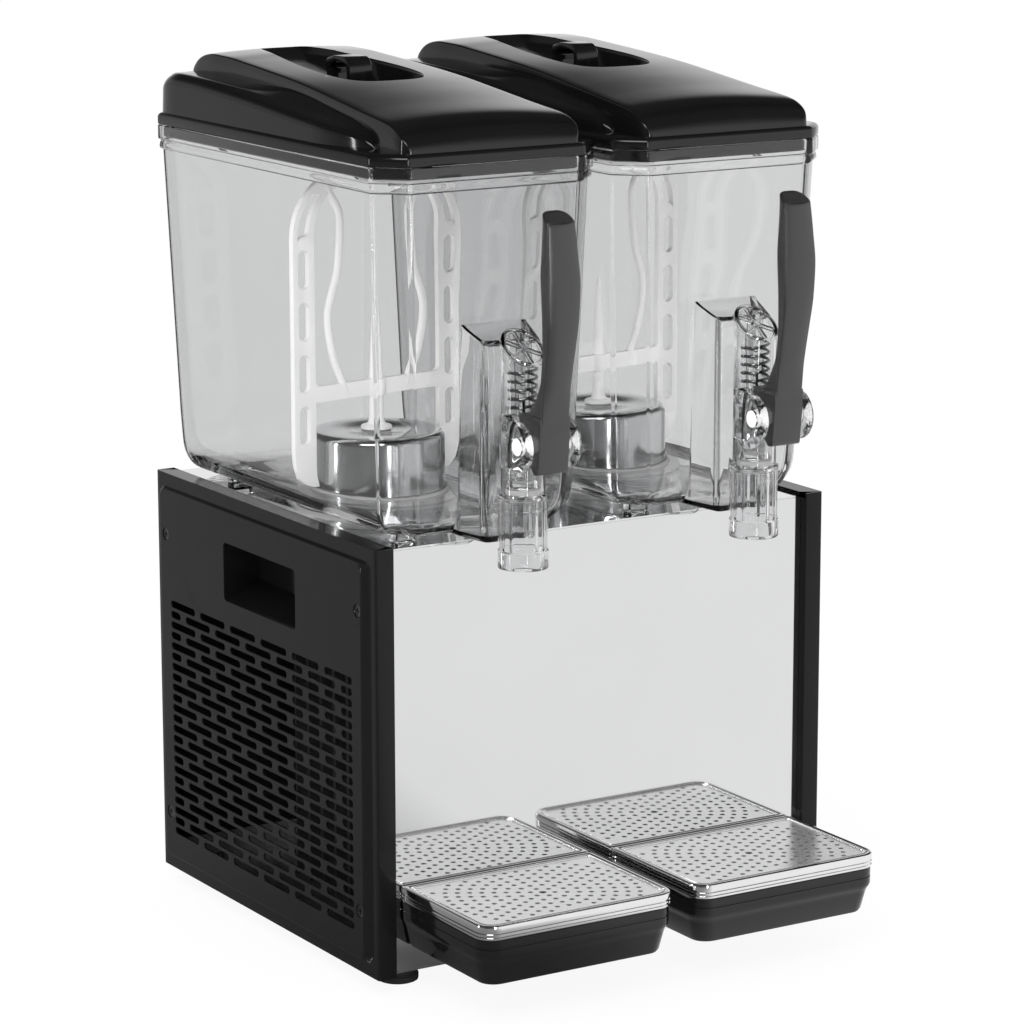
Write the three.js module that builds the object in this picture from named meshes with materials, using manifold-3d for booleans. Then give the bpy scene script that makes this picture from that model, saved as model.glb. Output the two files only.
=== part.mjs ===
// Twin-tank chilled juice dispenser, millimetres, +Z up.
// The origin lies on the ground under the middle of the whole machine. +Y points to the rear.
// The machine is a sheet-metal cabinet with two stations side by side. Each station has a clear
// tank over a chilled dome, a stirring paddle, a lid, a spring-loaded tap and a drip tray.

import * as THREE from 'three';
import { mergeVertices } from 'three/addons/utils/BufferGeometryUtils.js';
import Module from 'manifold-3d';

const wasm = await Module();
wasm.setup();

// General clearances
const seatGap = 0.3;
const runningGap = 0.4;
const overrun = 2;

// Cabinet
const cabinetWidth = 430;
const cabinetDepth = 380;
const cabinetHeight = 352;
const footHeight = 14;
const sheet = 1.5;
const cheekWidth = 16.5;
const frontRecess = 8;
const deckDrop = 2.5;
const kickGap = 3;
const panUpturn = 20;

// Raised field and grille of a side panel
const fieldProud = 3;
const fieldFrontMargin = 7.6;
const fieldRearMargin = 8;
const fieldBottomMargin = 10;
const fieldTopMargin = 11;
const fieldCorner = 14;
const slotHeight = 5.5;
const slotLength = 45;
const slotPitch = 54.4;
const slotRowPitch = 18.4;
const grilleToHand = 12;
const slotsInRow = 6;
const grilleRear = 162;
const grilleBottom = 35;

// Hand hole and its cup
const handWidth = 125;
const handHeight = 50;
const handCorner = 5;
const handCentreY = -0.3;
const handDrop = 64.6;
const cupRim = 6;
const cupWall = 2;
const cupDepth = 34;
const cupFloorRise = 14;

// Rear panel
const ventLength = 100;
const ventHeight = 5;
const ventPitch = 12;
const ventRows = 10;
const ventRise = 40;
const ventInset = 155;
const controlWidth = 150;
const controlHeight = 70;
const controlThickness = 3;
const controlInset = 125;
const controlDrop = 82;
const controlLip = 3;

// Feet
const footRadius = 17;
const footInsetX = 37;
const footInsetY = 35;
const footStud = 3.7;
const footStudLength = 10;

// Stations
const stationOffset = 2.5;
const trayOffset = 7.5;
const domeY = -10;

// Chilled dome
const domeShare = 0.55;
const domeHeight = 60;
const domeWall = 1.5;
const domeEdge = 5;
const deckHoleShare = 0.65;

// Stirring drive below the dome
const motorShare = 0.65;
const motorLength = 58;
const motorFlangeShare = 0.94;
const motorFlangeThickness = 3;
const driveShaft = 5;
const driveShaftDepth = 40;
const rotorShare = 0.8;
const rotorThickness = 12;
const rotorToDome = 4;

// Tank
const tankWall = 3.5;
const tankFloorHeight = 6;
const tankFloor = 4;
const tankSideGap = 10;
const tankTopHalfDepth = 200;
const tankTaper = 9.5;
const tankHeight = 294.7;
const tankHeelHeight = 26;
const tankHeelInset = 12.5;
const tankChamfer = 22;
const rimHeight = 11.7;
const rimProud = 2.5;
const tankFootInsetX = 38;
const tankFootInsetY = 40;
const tankFootWidth = 18;

// Tap housing on the tank's front wall
const housingRootHalfWidth = 30.6;
const housingNoseHalfWidth = 25.6;
const housingReach = 26;
const housingHeight = 162;
const housingRise = 11;
const housingWall = 4;
const housingFrontWall = 10;

// Tank gasket
const gasketLip = 3.4;
const gasketFlange = 13;
const gasketLipHeight = 12;

// Tap barrel
const tapReach = 13;
const barrelRadius = 17.5;
const barrelBore = 14.8;
const barrelRise = 41;
const capRearRise = 170;
const capFrontRise = 145;
const capRib = 2;
const capRibHeight = 2;
const capRibs = 6;
const spoutRadius = 19;
const spoutDrop = 16;
const spoutLip = 12;
const spoutLipProud = 0.8;
const seatRise = 43;
const seatThickness = 5;
const seatBore = 11.5;
const portRise = 58;
const portBore = 5;
const cradleGap = 0.3;

// Lever pivot
const pivotReach = 28.5;
const pivotRise = 86.7;
const pinRadius = 6.85;
const earOuter = 23.7;
const earThickness = 3.5;
const earRadius = 20;
const earRootUp = 21.3;
const earRootDown = 19.7;
const saddleReach = 8;
const slotHalfWidth = 8;
const slotUp = 33.3;
const slotDown = 14.7;

// Lever
const footHalfWidth = 13;
const footFront = 17.5;
const footBackRadius = 9.6;
const footDepth = 21.7;
const footTop = 17.5;
const fingerHalfWidth = 6;
const fingerHeight = 9.4;
const fingerPast = 4;

// Plunger, its seal and its spring
const plungerFoot = 10.9;
const plungerRadius = 14.3;
const plungerNeck = 9;
const plungerShoulder = 6;
const pistonRise = 21;
const pistonTopRise = 57;
const windowDown = 16.7;
const windowUp = 6.8;
const windowHalfWidth = 7;
const windowRear = 7;
const guideRadius = 5;
const guideLength = 26;
const sealHeight = 4;
const springRadius = 10.5;
const springWire = 1;
const springCurls = 6;
const ceilingRise = 101;

// Paddle
const paddleTurn = 8;
const paddleSideGap = 16;
const paddleDepth = 9;
const paddleRise = 275;
const paddleShoulder = 52;
const railWidth = 6;
const armWidth = 19;
const archThickness = 8;
const crossBarRise = 87;
const crossBarHeight = 12;
const windowRises = [54, 95, 138.5, 182, 224];
const windowLength = 31;
const tailRootRise = 48;
const tailTipRise = 14;
const tailTipInset = 20;
const tailTipWidth = 3.5;
const hubFlange = 12;
const hubFlangeHeight = 3;
const hubShaft = 6.8;
const hubCollar = 8;
const hubCollarHeight = 13;
const spikeRise = 168;
const spikeTip = 1;
const lyreWidth = 6;

// Lid
const lidSkirt = 10;
const lidWall = 3;
const plugDepth = 10;
const plugWall = 2.5;
const plugGap = 0.6;
const wingInset = 3;
const humpInset = 18.5;
const humpRise = 48.5;
const humpCrown = 3;
const wellInset = 48.5;
const wellRearY = 46;
const wellFrontY = -8;
const wellDepth = 15;
const wellWall = 2.5;
const barHalfWidth = 11;
const barThickness = 6;
const barRise = 7;
const barOverlap = 6;

// Drip tray
const traySideGap = 10;
const trayFront = -311;
const trayGap = 0.4;
const trayCorner = 16;
const trayBottom = 36;
const trayTaper = 9;
const collarBottom = 61;
const collarTop = 75;
const trayWall = 2.5;
const hookWidth = 24;
const hookLength = 9;
const hookThickness = 3;
const hookOffset = 50;
const bezelHeight = 12;
const bezelLedge = 7;
const bezelRidge = 0.8;
const bezelRidges = 3;
const gridThickness = 1.2;
const gridDrop = 2.5;
const gridLip = 3;

// Refrigeration unit
const compressorRadius = 58;
const compressorHeight = 150;
const compressorInset = 115;
const compressorY = 40;
const compressorFeet = 12;
const condenserInset = 95;
const condenserThickness = 30;
const condenserDepth = 230;
const condenserHeight = 210;
const condenserCore = 10;
const condenserFins = 10;
const finThickness = 2;
const shroudThickness = 3;
const shroudGap = 3;
const shroudDepth = 26;
const fanRadius = 88;
const fanTipGap = 4;
const fanHub = 20;
const fanBlades = 5;
const fanBladeThickness = 2.5;
const fanHubLength = 22;
const fanMotorRadius = 30;
const fanMotorLength = 40;
const fanShaft = 4;
const fanArm = 8;

// Controls
const dialRadius = 19;
const dialHeight = 11.5;
const dialFlutes = 6;
const dialSpindle = 4;
const dialX = -46;
const rockerWidth = 13;
const rockerHeight = 24;
const rockerDepth = 12;
const rockerCrown = 3;
const rockerTilt = 8;
const mainRockerX = 52;
const leftRockerX = 22;
const rightRockerX = -8;
const glandRadius = 9;
const glandLength = 12;
const glandInset = 65;
const glandRise = 45;

// Derived places of the cabinet
const halfWidth = cabinetWidth / 2;
const halfDepth = cabinetDepth / 2;
const cabinetTop = footHeight + cabinetHeight;
const cheekInner = halfWidth - cheekWidth;
const panelHalfWidth = cheekInner - seatGap;
const frontFace = -halfDepth + frontRecess;
const rearFace = halfDepth - sheet;
const deckTop = cabinetTop - deckDrop;
const deckUnder = deckTop - sheet;
const panFloorTop = footHeight + sheet;
const stationX = cabinetWidth / 4 + stationOffset;
const trayX = cabinetWidth / 4 - trayOffset;
const trayHalf = trayX - traySideGap;
const controlX = controlInset - halfWidth;
const controlZ = cabinetTop - controlDrop;
const ventX = halfWidth - ventInset;
const glandX = halfWidth - glandInset;
const compressorX = halfWidth - compressorInset;
const condenserX = condenserInset - halfWidth;

// Derived places of the stations
const domeBottom = deckTop + seatGap;
const domeTop = domeBottom + domeHeight;
const tankBottom = deckTop + tankFloorHeight;
const rimTop = tankBottom + tankHeight;
const rimBottom = rimTop - rimHeight;
const lidBottom = rimTop + seatGap;
const lidSkirtTop = lidBottom + lidSkirt;
const tankTopHalfWidth = stationX - tankSideGap;
const tankFootX = tankTopHalfWidth - tankFootInsetX;
const tankFootY = tankTopHalfDepth - tankFootInsetY;
const rimHalfWidth = tankTopHalfWidth + rimProud;
const rimHalfDepth = tankTopHalfDepth + rimProud;
const housingTop = tankBottom + housingHeight;
const trayRear = frontFace - trayGap;
const domeRadius = tankTopHalfWidth * domeShare;
const deckHoleRadius = domeRadius * deckHoleShare;
const motorRadius = domeRadius * motorShare;
const motorFlange = domeRadius * motorFlangeShare;
const rotorRadius = domeRadius * rotorShare;

// Derived places of the tap
const housingNoseY = -tankTopHalfDepth - housingReach;
const tapY = housingNoseY - tapReach;
const pivotY = tapY - pivotReach;
const saddleFront = tapY - saddleReach;
const fingerTipY = tapY + fingerPast;
const barrelBottom = cabinetTop + barrelRise;
const barrelTopRear = cabinetTop + capRearRise;
const barrelTopFront = cabinetTop + capFrontRise;
const spoutBottom = cabinetTop - spoutDrop;
const seatTop = cabinetTop + seatRise;
const portHeight = cabinetTop + portRise;
const pivotZ = cabinetTop + pivotRise;
const pistonBottom = seatTop + pistonRise;
const pistonTop = seatTop + pistonTopRise;
const springCeiling = seatTop + ceilingRise;

// Derived places of the paddle and the lid
const paddleReach = tankTopHalfWidth - paddleSideGap;
const paddleTop = cabinetTop + paddleRise;
const crossBarBottom = cabinetTop + crossBarRise;
const tailRoot = cabinetTop + tailRootRise;
const tailTip = cabinetTop + tailTipRise;
const tailTipReach = paddleReach - tailTipInset;
const spikeTop = cabinetTop + spikeRise;
const humpHalfWidth = rimHalfWidth - humpInset;
const wellHalfWidth = rimHalfWidth - wellInset;

// The machine reaches from the tray's front to the tank's rear rim.
const originShift = -(trayFront + rimHalfDepth) / 2;

// Materials
function finish(color, roughness, metalness, opacity) {
  const settings = { color, roughness, metalness };
  if (opacity) {
    settings.transparent = true;
    settings.opacity = opacity;
  }
  return new THREE.MeshStandardMaterial(settings);
}

const blackPaint = finish(0x1b1b1c, 0.4, 0.1);
const polishedSteel = finish(0xd4d6d8, 0.12, 1);
const plainSteel = finish(0xb4b6b8, 0.35, 1);
const clearPlastic = finish(0xeef2f4, 0.05, 0, 0.3);
const glossBlack = finish(0x0b0b0c, 0.12, 0);
const darkGrip = finish(0x3b3b3d, 0.55, 0);
const whitePlastic = finish(0xf2f2ef, 0.4, 0);
const softRubber = finish(0x1a1a1a, 0.8, 0);
const greyRubber = finish(0x8c8c88, 0.7, 0);
const castBlack = finish(0x161616, 0.5, 0.3);
const finAluminium = finish(0xc3c6c9, 0.4, 0.9);

// Solids: every closed geometry becomes a manifold, and comes back as a plain geometry.
function signedVolume(positions, index) {
  let sum = 0;
  const a = new THREE.Vector3();
  const b = new THREE.Vector3();
  const c = new THREE.Vector3();
  for (let i = 0; i < index.length; i += 3) {
    a.fromArray(positions, index[i] * 3);
    b.fromArray(positions, index[i + 1] * 3);
    c.fromArray(positions, index[i + 2] * 3);
    sum += a.dot(b.cross(c));
  }
  return sum;
}

const mergeTolerance = 1e-4;

function solid(geometry) {
  const bare = geometry.clone();
  bare.deleteAttribute('normal');
  bare.deleteAttribute('uv');
  const merged = mergeVertices(bare, mergeTolerance);
  const positions = merged.attributes.position.array;
  const kept = [];
  const source = merged.index.array;
  for (let i = 0; i < source.length; i += 3) {
    const [p, q, r] = [source[i], source[i + 1], source[i + 2]];
    if (p !== q && q !== r && r !== p) {
      kept.push(p, q, r);
    }
  }
  if (signedVolume(positions, kept) < 0) {
    kept.reverse();
  }
  return new wasm.Manifold(new wasm.Mesh({
    numProp: 3,
    vertProperties: new Float32Array(positions),
    triVerts: new Uint32Array(kept),
  }));
}

function shell(manifold) {
  const mesh = manifold.getMesh();
  const geometry = new THREE.BufferGeometry();
  geometry.setAttribute('position', new THREE.BufferAttribute(new Float32Array(mesh.vertProperties), 3));
  geometry.setIndex(new THREE.BufferAttribute(new Uint32Array(mesh.triVerts), 1));
  geometry.computeVertexNormals();
  return geometry;
}

function joined(parts) {
  return parts.reduce((whole, part) => whole.add(part));
}

function without(body, cuts) {
  return cuts.reduce((rest, cut) => rest.subtract(cut), body);
}

function block(xs, ys, zs) {
  const size = [xs, ys, zs].map(([low, high]) => Math.abs(high - low));
  const geometry = new THREE.BoxGeometry(...size);
  geometry.translate((xs[0] + xs[1]) / 2, (ys[0] + ys[1]) / 2, (zs[0] + zs[1]) / 2);
  return solid(geometry);
}

// Prisms: an outline in XY raised along Z, in YZ run along X, or in XZ run along Y.
function prismZ(shape, low, high, arcSteps = 4) {
  const settings = { depth: high - low, bevelEnabled: false, curveSegments: arcSteps };
  const geometry = new THREE.ExtrudeGeometry(shape, settings);
  geometry.translate(0, 0, low);
  return solid(geometry);
}

function turnedPrism(shape, low, high, axes, arcSteps) {
  const settings = { depth: high - low, bevelEnabled: false, curveSegments: arcSteps };
  const geometry = new THREE.ExtrudeGeometry(shape, settings);
  geometry.translate(0, 0, low);
  geometry.applyMatrix4(new THREE.Matrix4().makeBasis(...axes));
  return solid(geometry);
}

const unitX = new THREE.Vector3(1, 0, 0);
const unitY = new THREE.Vector3(0, 1, 0);
const unitZ = new THREE.Vector3(0, 0, 1);

function prismX(shape, low, high, arcSteps = 4) {
  return turnedPrism(shape, low, high, [unitY, unitZ, unitX], arcSteps);
}

function prismY(shape, low, high, arcSteps = 4) {
  return turnedPrism(shape, -high, -low, [unitX, unitZ, unitY.clone().negate()], arcSteps);
}

function outline(points) {
  return new THREE.Shape(points.map(([u, v]) => new THREE.Vector2(u, v)));
}

function roundedOutline(uLow, uHigh, vLow, vHigh, radius) {
  const shape = new THREE.Shape();
  shape.moveTo(uLow + radius, vLow);
  shape.lineTo(uHigh - radius, vLow);
  shape.absarc(uHigh - radius, vLow + radius, radius, -Math.PI / 2, 0);
  shape.lineTo(uHigh, vHigh - radius);
  shape.absarc(uHigh - radius, vHigh - radius, radius, 0, Math.PI / 2);
  shape.lineTo(uLow + radius, vHigh);
  shape.absarc(uLow + radius, vHigh - radius, radius, Math.PI / 2, Math.PI);
  shape.lineTo(uLow, vLow + radius);
  shape.absarc(uLow + radius, vLow + radius, radius, Math.PI, 1.5 * Math.PI);
  return shape;
}

function chamferedOutline(halfX, halfY, chamfer) {
  return outline([
    [halfX - chamfer, -halfY], [halfX, -halfY + chamfer],
    [halfX, halfY - chamfer], [halfX - chamfer, halfY],
    [-halfX + chamfer, halfY], [-halfX, halfY - chamfer],
    [-halfX, -halfY + chamfer], [-halfX + chamfer, -halfY],
  ]);
}

// A turned body about Z. The profile is a list of [radius, height].
function turned(profile, sides) {
  const geometry = new THREE.LatheGeometry(profile.map(([r, h]) => new THREE.Vector2(r, h)), sides);
  geometry.rotateX(Math.PI / 2);
  return solid(geometry);
}

function ring(inner, outer, low, high, sides) {
  return turned([[inner, low], [outer, low], [outer, high], [inner, high], [inner, low]], sides);
}

function drum(radius, low, high, sides) {
  return turned([[0, low], [radius, low], [radius, high], [0, high]], sides);
}

function moved(manifold, x, y, z) {
  const geometry = shell(manifold);
  geometry.translate(x, y, z);
  return solid(geometry);
}

function rotated(manifold, axis, angle) {
  const geometry = shell(manifold);
  geometry.applyMatrix4(new THREE.Matrix4().makeRotationAxis(axis, angle));
  return solid(geometry);
}

function mirroredX(manifold) {
  const geometry = shell(manifold);
  geometry.scale(-1, 1, 1);
  return solid(geometry);
}

// A body skinned over rings of equal point count, closed by its first and last ring.
function capTriangles(ringPoints) {
  const spans = ['x', 'y', 'z'].map((key) => {
    const values = ringPoints.map((point) => point[key]);
    return Math.max(...values) - Math.min(...values);
  });
  const flat = spans.indexOf(Math.min(...spans));
  const keys = ['x', 'y', 'z'].filter((key, place) => place !== flat);
  const contour = ringPoints.map((point) => new THREE.Vector2(point[keys[0]], point[keys[1]]));
  const ringArea = THREE.ShapeUtils.area(contour);
  const faces = THREE.ShapeUtils.triangulateShape(contour, []);
  return faces.map((face) => {
    const faceArea = THREE.ShapeUtils.area(face.map((corner) => contour[corner]));
    return faceArea * ringArea < 0 ? [face[0], face[2], face[1]] : face;
  });
}

function skinned(rings) {
  const count = rings[0].length;
  const positions = rings.flat().flatMap((point) => [point.x, point.y, point.z]);
  const index = [];
  for (let level = 0; level < rings.length - 1; level += 1) {
    for (let i = 0; i < count; i += 1) {
      const next = (i + 1) % count;
      const [a, b] = [level * count + i, level * count + next];
      index.push(a, b, b + count, a, b + count, a + count);
    }
  }
  const last = (rings.length - 1) * count;
  capTriangles(rings[0]).forEach(([p, q, r]) => index.push(r, q, p));
  capTriangles(rings[rings.length - 1]).forEach(([p, q, r]) => index.push(last + p, last + q, last + r));
  const geometry = new THREE.BufferGeometry();
  geometry.setAttribute('position', new THREE.BufferAttribute(new Float32Array(positions), 3));
  geometry.setIndex(index);
  return solid(geometry);
}

function chamferedRing(halfX, halfY, chamfer, z) {
  return chamferedOutline(halfX, halfY, chamfer).getPoints().map((p) => new THREE.Vector3(p.x, p.y, z));
}

const machine = new THREE.Group();
machine.position.y = originShift;

function place(parent, name, manifold, material, x = 0, y = 0, z = 0) {
  const part = new THREE.Mesh(shell(manifold), material);
  part.name = name;
  part.position.set(x, y, z);
  parent.add(part);
  return part;
}

// Side panel, drawn for the right side: a folded sheet with a raised field pressed out of it.
const fieldFront = -halfDepth + fieldFrontMargin;
const fieldRear = halfDepth - fieldRearMargin;
const fieldBottom = footHeight + fieldBottomMargin;
const fieldTop = cabinetTop - fieldTopMargin;
const handCentreZ = cabinetTop - handDrop;

function fieldOutline(inset) {
  return roundedOutline(fieldFront + inset, fieldRear - inset, fieldBottom + inset, fieldTop - inset,
    fieldCorner - inset);
}

const fieldFace = halfWidth + fieldProud;

function slotCut(start, length, bottom) {
  return block([fieldFace - sheet - overrun, fieldFace + overrun], [start, start + length],
    [bottom, bottom + slotHeight]);
}

function grilleSlots() {
  const slots = [];
  const span = (slotsInRow - 1) * slotPitch + slotLength;
  const start = grilleRear - span;
  const halfSlot = slotPitch / 2 - (slotPitch - slotLength);
  const highest = handCentreZ - handHeight / 2 - grilleToHand - slotHeight;
  let shifted = 0;
  for (let bottom = footHeight + grilleBottom; bottom <= highest; bottom += slotRowPitch) {
    for (let i = 0; i < slotsInRow - shifted; i += 1) {
      slots.push(slotCut(start + (i + shifted / 2) * slotPitch, slotLength, bottom));
    }
    if (shifted) {
      slots.push(slotCut(start, halfSlot, bottom));
      slots.push(slotCut(start + span - halfSlot, halfSlot, bottom));
    }
    shifted = 1 - shifted;
  }
  return slots;
}

function handOutline(grow) {
  return roundedOutline(handCentreY - handWidth / 2 - grow, handCentreY + handWidth / 2 + grow,
    handCentreZ - handHeight / 2 - grow, handCentreZ + handHeight / 2 + grow, handCorner + grow);
}

function sidePanel() {
  const skin = outline([
    [-halfDepth, footHeight], [halfDepth, footHeight], [halfDepth, cabinetTop], [-halfDepth, cabinetTop],
  ]);
  skin.holes = [new THREE.Path(fieldOutline(sheet).getPoints(2))];
  const step = fieldOutline(0);
  step.holes = [new THREE.Path(fieldOutline(sheet).getPoints(2))];
  const flange = [cheekInner, halfWidth];
  const lip = [cheekInner, cheekInner + sheet];
  const panel = joined([
    prismX(skin, halfWidth - sheet, halfWidth, 2),
    prismX(step, halfWidth - sheet, fieldFace, 2),
    prismX(fieldOutline(0), fieldFace - sheet, fieldFace, 2),
    block(flange, [-halfDepth, -halfDepth + sheet], [footHeight, cabinetTop]),
    block(flange, [halfDepth - sheet, halfDepth], [footHeight, cabinetTop]),
    block(flange, [-halfDepth, halfDepth], [cabinetTop - sheet, cabinetTop]),
    block(flange, [-halfDepth, halfDepth], [footHeight, panFloorTop]),
    block(lip, [-halfDepth, frontFace + sheet], [footHeight, cabinetTop]),
    block(lip, [-halfDepth, halfDepth], [deckUnder, cabinetTop]),
  ]);
  const handCut = prismX(handOutline(0), fieldFace - sheet - overrun, fieldFace + overrun, 1);
  return without(panel, [...grilleSlots(), handCut]);
}

// Hand cup: a flanged tub behind the hand hole, its floor sloping up and back out.
function handCup() {
  const mouth = halfWidth + fieldProud - sheet - seatGap;
  const back = mouth - cupDepth;
  const low = handCentreZ - handHeight / 2;
  const high = handCentreZ + handHeight / 2;
  const side = [
    [mouth, low - cupWall], [mouth, high + cupWall], [back, high + cupWall],
    [back, low + cupFloorRise], [back + cupWall, low + cupFloorRise - cupWall],
  ];
  const hollow = [
    [mouth + overrun, low], [mouth + overrun, high], [back + cupWall, high],
    [back + cupWall, low + cupFloorRise],
  ];
  const front = handCentreY - handWidth / 2;
  const rear = handCentreY + handWidth / 2;
  const tub = prismY(outline(side), front - cupWall, rear + cupWall);
  const rim = prismX(handOutline(cupRim), mouth - cupWall, mouth);
  return without(joined([tub, rim]), [prismY(outline(hollow), front, rear)]);
}

function buildCabinetSides() {
  const panel = sidePanel();
  place(machine, 'right_side_panel', panel, blackPaint);
  place(machine, 'left_side_panel', mirroredX(panel), blackPaint);
  const cup = handCup();
  place(machine, 'right_hand_cup', cup, glossBlack);
  place(machine, 'left_hand_cup', mirroredX(cup), glossBlack);
}

// Base pan with upturned front and rear edges and holes for the feet's studs.
const footX = halfWidth - footInsetX;
const footY = halfDepth - footInsetY;

function basePan() {
  const wide = [-panelHalfWidth, panelHalfWidth];
  const front = frontFace + sheet + seatGap;
  const rear = rearFace - sheet - seatGap;
  const floor = block(wide, [front, rear], [footHeight, panFloorTop]);
  const frontEdge = block(wide, [front, front + sheet], [footHeight, footHeight + panUpturn]);
  const rearEdge = block(wide, [rear - sheet, rear], [footHeight, footHeight + panUpturn]);
  const holes = footPlaces().map(([x, y]) => moved(
    drum(footStud + runningGap, footHeight - overrun, panFloorTop + overrun, 8), x, y, 0));
  return without(joined([floor, frontEdge, rearEdge]), holes);
}

function footPlaces() {
  return [[-footX, -footY], [footX, -footY], [-footX, footY], [footX, footY]];
}

function foot() {
  const top = footHeight - seatGap;
  const edge = footRadius / 8;
  return turned([
    [0, 0], [footRadius - edge, 0], [footRadius, edge], [footRadius - edge, top], [footStud, top],
    [footStud, panFloorTop + footStudLength], [0, panFloorTop + footStudLength],
  ], 12);
}

function frontPanel() {
  const wide = [-panelHalfWidth, panelHalfWidth];
  const plate = block(wide, [frontFace, frontFace + sheet], [footHeight + kickGap, deckUnder - seatGap]);
  return without(plate, [-1, 1].flatMap((side) => hookPlaces(side).map((x) => hookSlot(x))));
}

function hookPlaces(side) {
  return [side * trayX - hookOffset, side * trayX + hookOffset];
}

function hookSlot(x) {
  const half = hookWidth / 2 + runningGap;
  const top = collarTop - hookThickness;
  return block([x - half, x + half], [frontFace - overrun, frontFace + sheet + overrun],
    [top - hookThickness - runningGap, top + runningGap]);
}

function topDeck() {
  const wide = [-panelHalfWidth, panelHalfWidth];
  const rear = rearFace - sheet - seatGap;
  const plate = block(wide, [frontFace, rearFace - seatGap], [deckUnder, deckTop]);
  const frontLip = block(wide, [frontFace + sheet + seatGap, frontFace + 2 * sheet + seatGap],
    [deckUnder - panUpturn, deckTop]);
  const rearLip = block(wide, [rear - sheet, rear], [deckUnder - panUpturn, deckTop]);
  const holes = [-1, 1].map((side) => moved(
    drum(deckHoleRadius, deckUnder - overrun, deckTop + overrun, 20), side * stationX, domeY, 0));
  return without(joined([plate, frontLip, rearLip]), holes);
}

// Rear panel: vent slots on one side, the control opening on the other, the lead gland's hole below.
const rearPanelFront = rearFace - sheet;

function rearPanel() {
  const low = footHeight + kickGap;
  const high = deckUnder - seatGap;
  const through = [rearPanelFront - overrun, rearFace + overrun];
  const vents = [];
  for (let row = 0; row < ventRows; row += 1) {
    const bottom = footHeight + ventRise + row * ventPitch;
    vents.push(block([ventX - ventLength / 2, ventX + ventLength / 2], through,
      [bottom, bottom + ventHeight]));
  }
  const opening = block(
    [controlX - controlWidth / 2, controlX + controlWidth / 2],
    through, [controlZ - controlHeight / 2, controlZ + controlHeight / 2]);
  const glandHole = glandDrum(glandRadius / 2 + runningGap, ...through);
  const plate = block([-panelHalfWidth, panelHalfWidth], [rearPanelFront, rearFace], [low, high]);
  return without(plate, [...vents, opening, glandHole]);
}

function glandDrum(radius, low, high) {
  const alongZ = drum(radius, -high, -low, 8);
  return moved(rotated(alongZ, unitX, Math.PI / 2), glandX, 0, footHeight + glandRise);
}

const glandNoseShare = 2 / 3;

function cordGland() {
  const flange = glandDrum(glandRadius, rearFace + seatGap, rearFace + seatGap + glandLength / 3);
  const nose = glandDrum(glandRadius * glandNoseShare, rearFace + seatGap, rearFace + seatGap + glandLength);
  const stem = glandDrum(glandRadius / 2, rearPanelFront - glandLength / 2, rearFace + glandLength / 2);
  const bore = glandDrum(glandRadius / 3, rearPanelFront - glandLength, rearFace + 2 * glandLength);
  return joined([flange, nose, stem]).subtract(bore);
}

// Control plate: it sits in the rear panel's opening and carries three rockers and the thermostat.
function controlPlate() {
  const half = [controlWidth / 2 - seatGap, controlHeight / 2 - seatGap];
  const tray = block([controlX - half[0], controlX + half[0]],
    [rearPanelFront - controlThickness, rearFace], [controlZ - half[1], controlZ + half[1]]);
  const rim = block([controlX - half[0] - controlLip, controlX + half[0] + controlLip],
    [rearFace + seatGap, rearFace + seatGap + controlLip / 2],
    [controlZ - half[1] - controlLip, controlZ + half[1] + controlLip]);
  const bridge = block([controlX - half[0], controlX + half[0]],
    [rearFace - sheet, rearFace + seatGap + controlLip / 2], [controlZ - half[1], controlZ + half[1]]);
  const windows = [mainRockerX, leftRockerX, rightRockerX].map((x) => block(
    [controlX + x - rockerWidth / 2 - runningGap, controlX + x + rockerWidth / 2 + runningGap],
    [rearPanelFront - controlThickness - overrun, rearFace + 2 * controlLip],
    [controlZ - rockerHeight / 2 - 2 * runningGap, controlZ + rockerHeight / 2 + 2 * runningGap]));
  const bush = moved(rotated(drum(dialSpindle + runningGap, -rearFace - 2 * controlLip,
    -rearPanelFront + 2 * controlThickness, 12), unitX, Math.PI / 2), controlX + dialX, 0, controlZ);
  return without(joined([tray, rim, bridge]), [...windows, bush]);
}

const plateFace = rearFace + seatGap + controlLip / 2;

function thermostat() {
  const spindle = rotated(drum(dialSpindle, -plateFace - dialHeight / 2,
    -rearPanelFront + 2 * controlThickness, 12), unitX, Math.PI / 2);
  const bodyFace = rearPanelFront - controlThickness - seatGap;
  const body = block([-dialRadius, dialRadius], [bodyFace - dialRadius, bodyFace],
    [-dialRadius, dialRadius]);
  return moved(joined([spindle, body]), controlX + dialX, 0, controlZ);
}

// Dial: a fluted cap on the thermostat's spindle, modelled about its own axis and turned to face +Y.
function dial() {
  const cap = drum(dialRadius, 0, dialHeight, 18);
  const flute = dialRadius / 6;
  const flutes = [];
  for (let i = 0; i < dialFlutes; i += 1) {
    const angle = (i / dialFlutes) * 2 * Math.PI;
    flutes.push(moved(drum(flute, dialHeight / 4, dialHeight + overrun, 4),
      dialRadius * Math.cos(angle), dialRadius * Math.sin(angle), 0));
  }
  const bore = drum(dialSpindle + seatGap, -overrun, dialHeight / 2 + seatGap, 12);
  return without(cap, [...flutes, bore]);
}

// Rocker: a shallow V face on a pivoting block, modelled about its pivot.
const rockerRootShare = 0.62;

function rocker() {
  const half = rockerHeight / 2;
  const side = outline([
    [-rockerDepth / 2, -half * rockerRootShare], [rockerDepth / 3, -half],
    [rockerDepth / 3 + rockerCrown, -half],
    [rockerDepth / 3, 0], [rockerDepth / 3 + rockerCrown, half], [rockerDepth / 3, half],
    [-rockerDepth / 2, half * rockerRootShare],
  ]);
  return prismX(side, -rockerWidth / 2, rockerWidth / 2);
}

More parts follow.
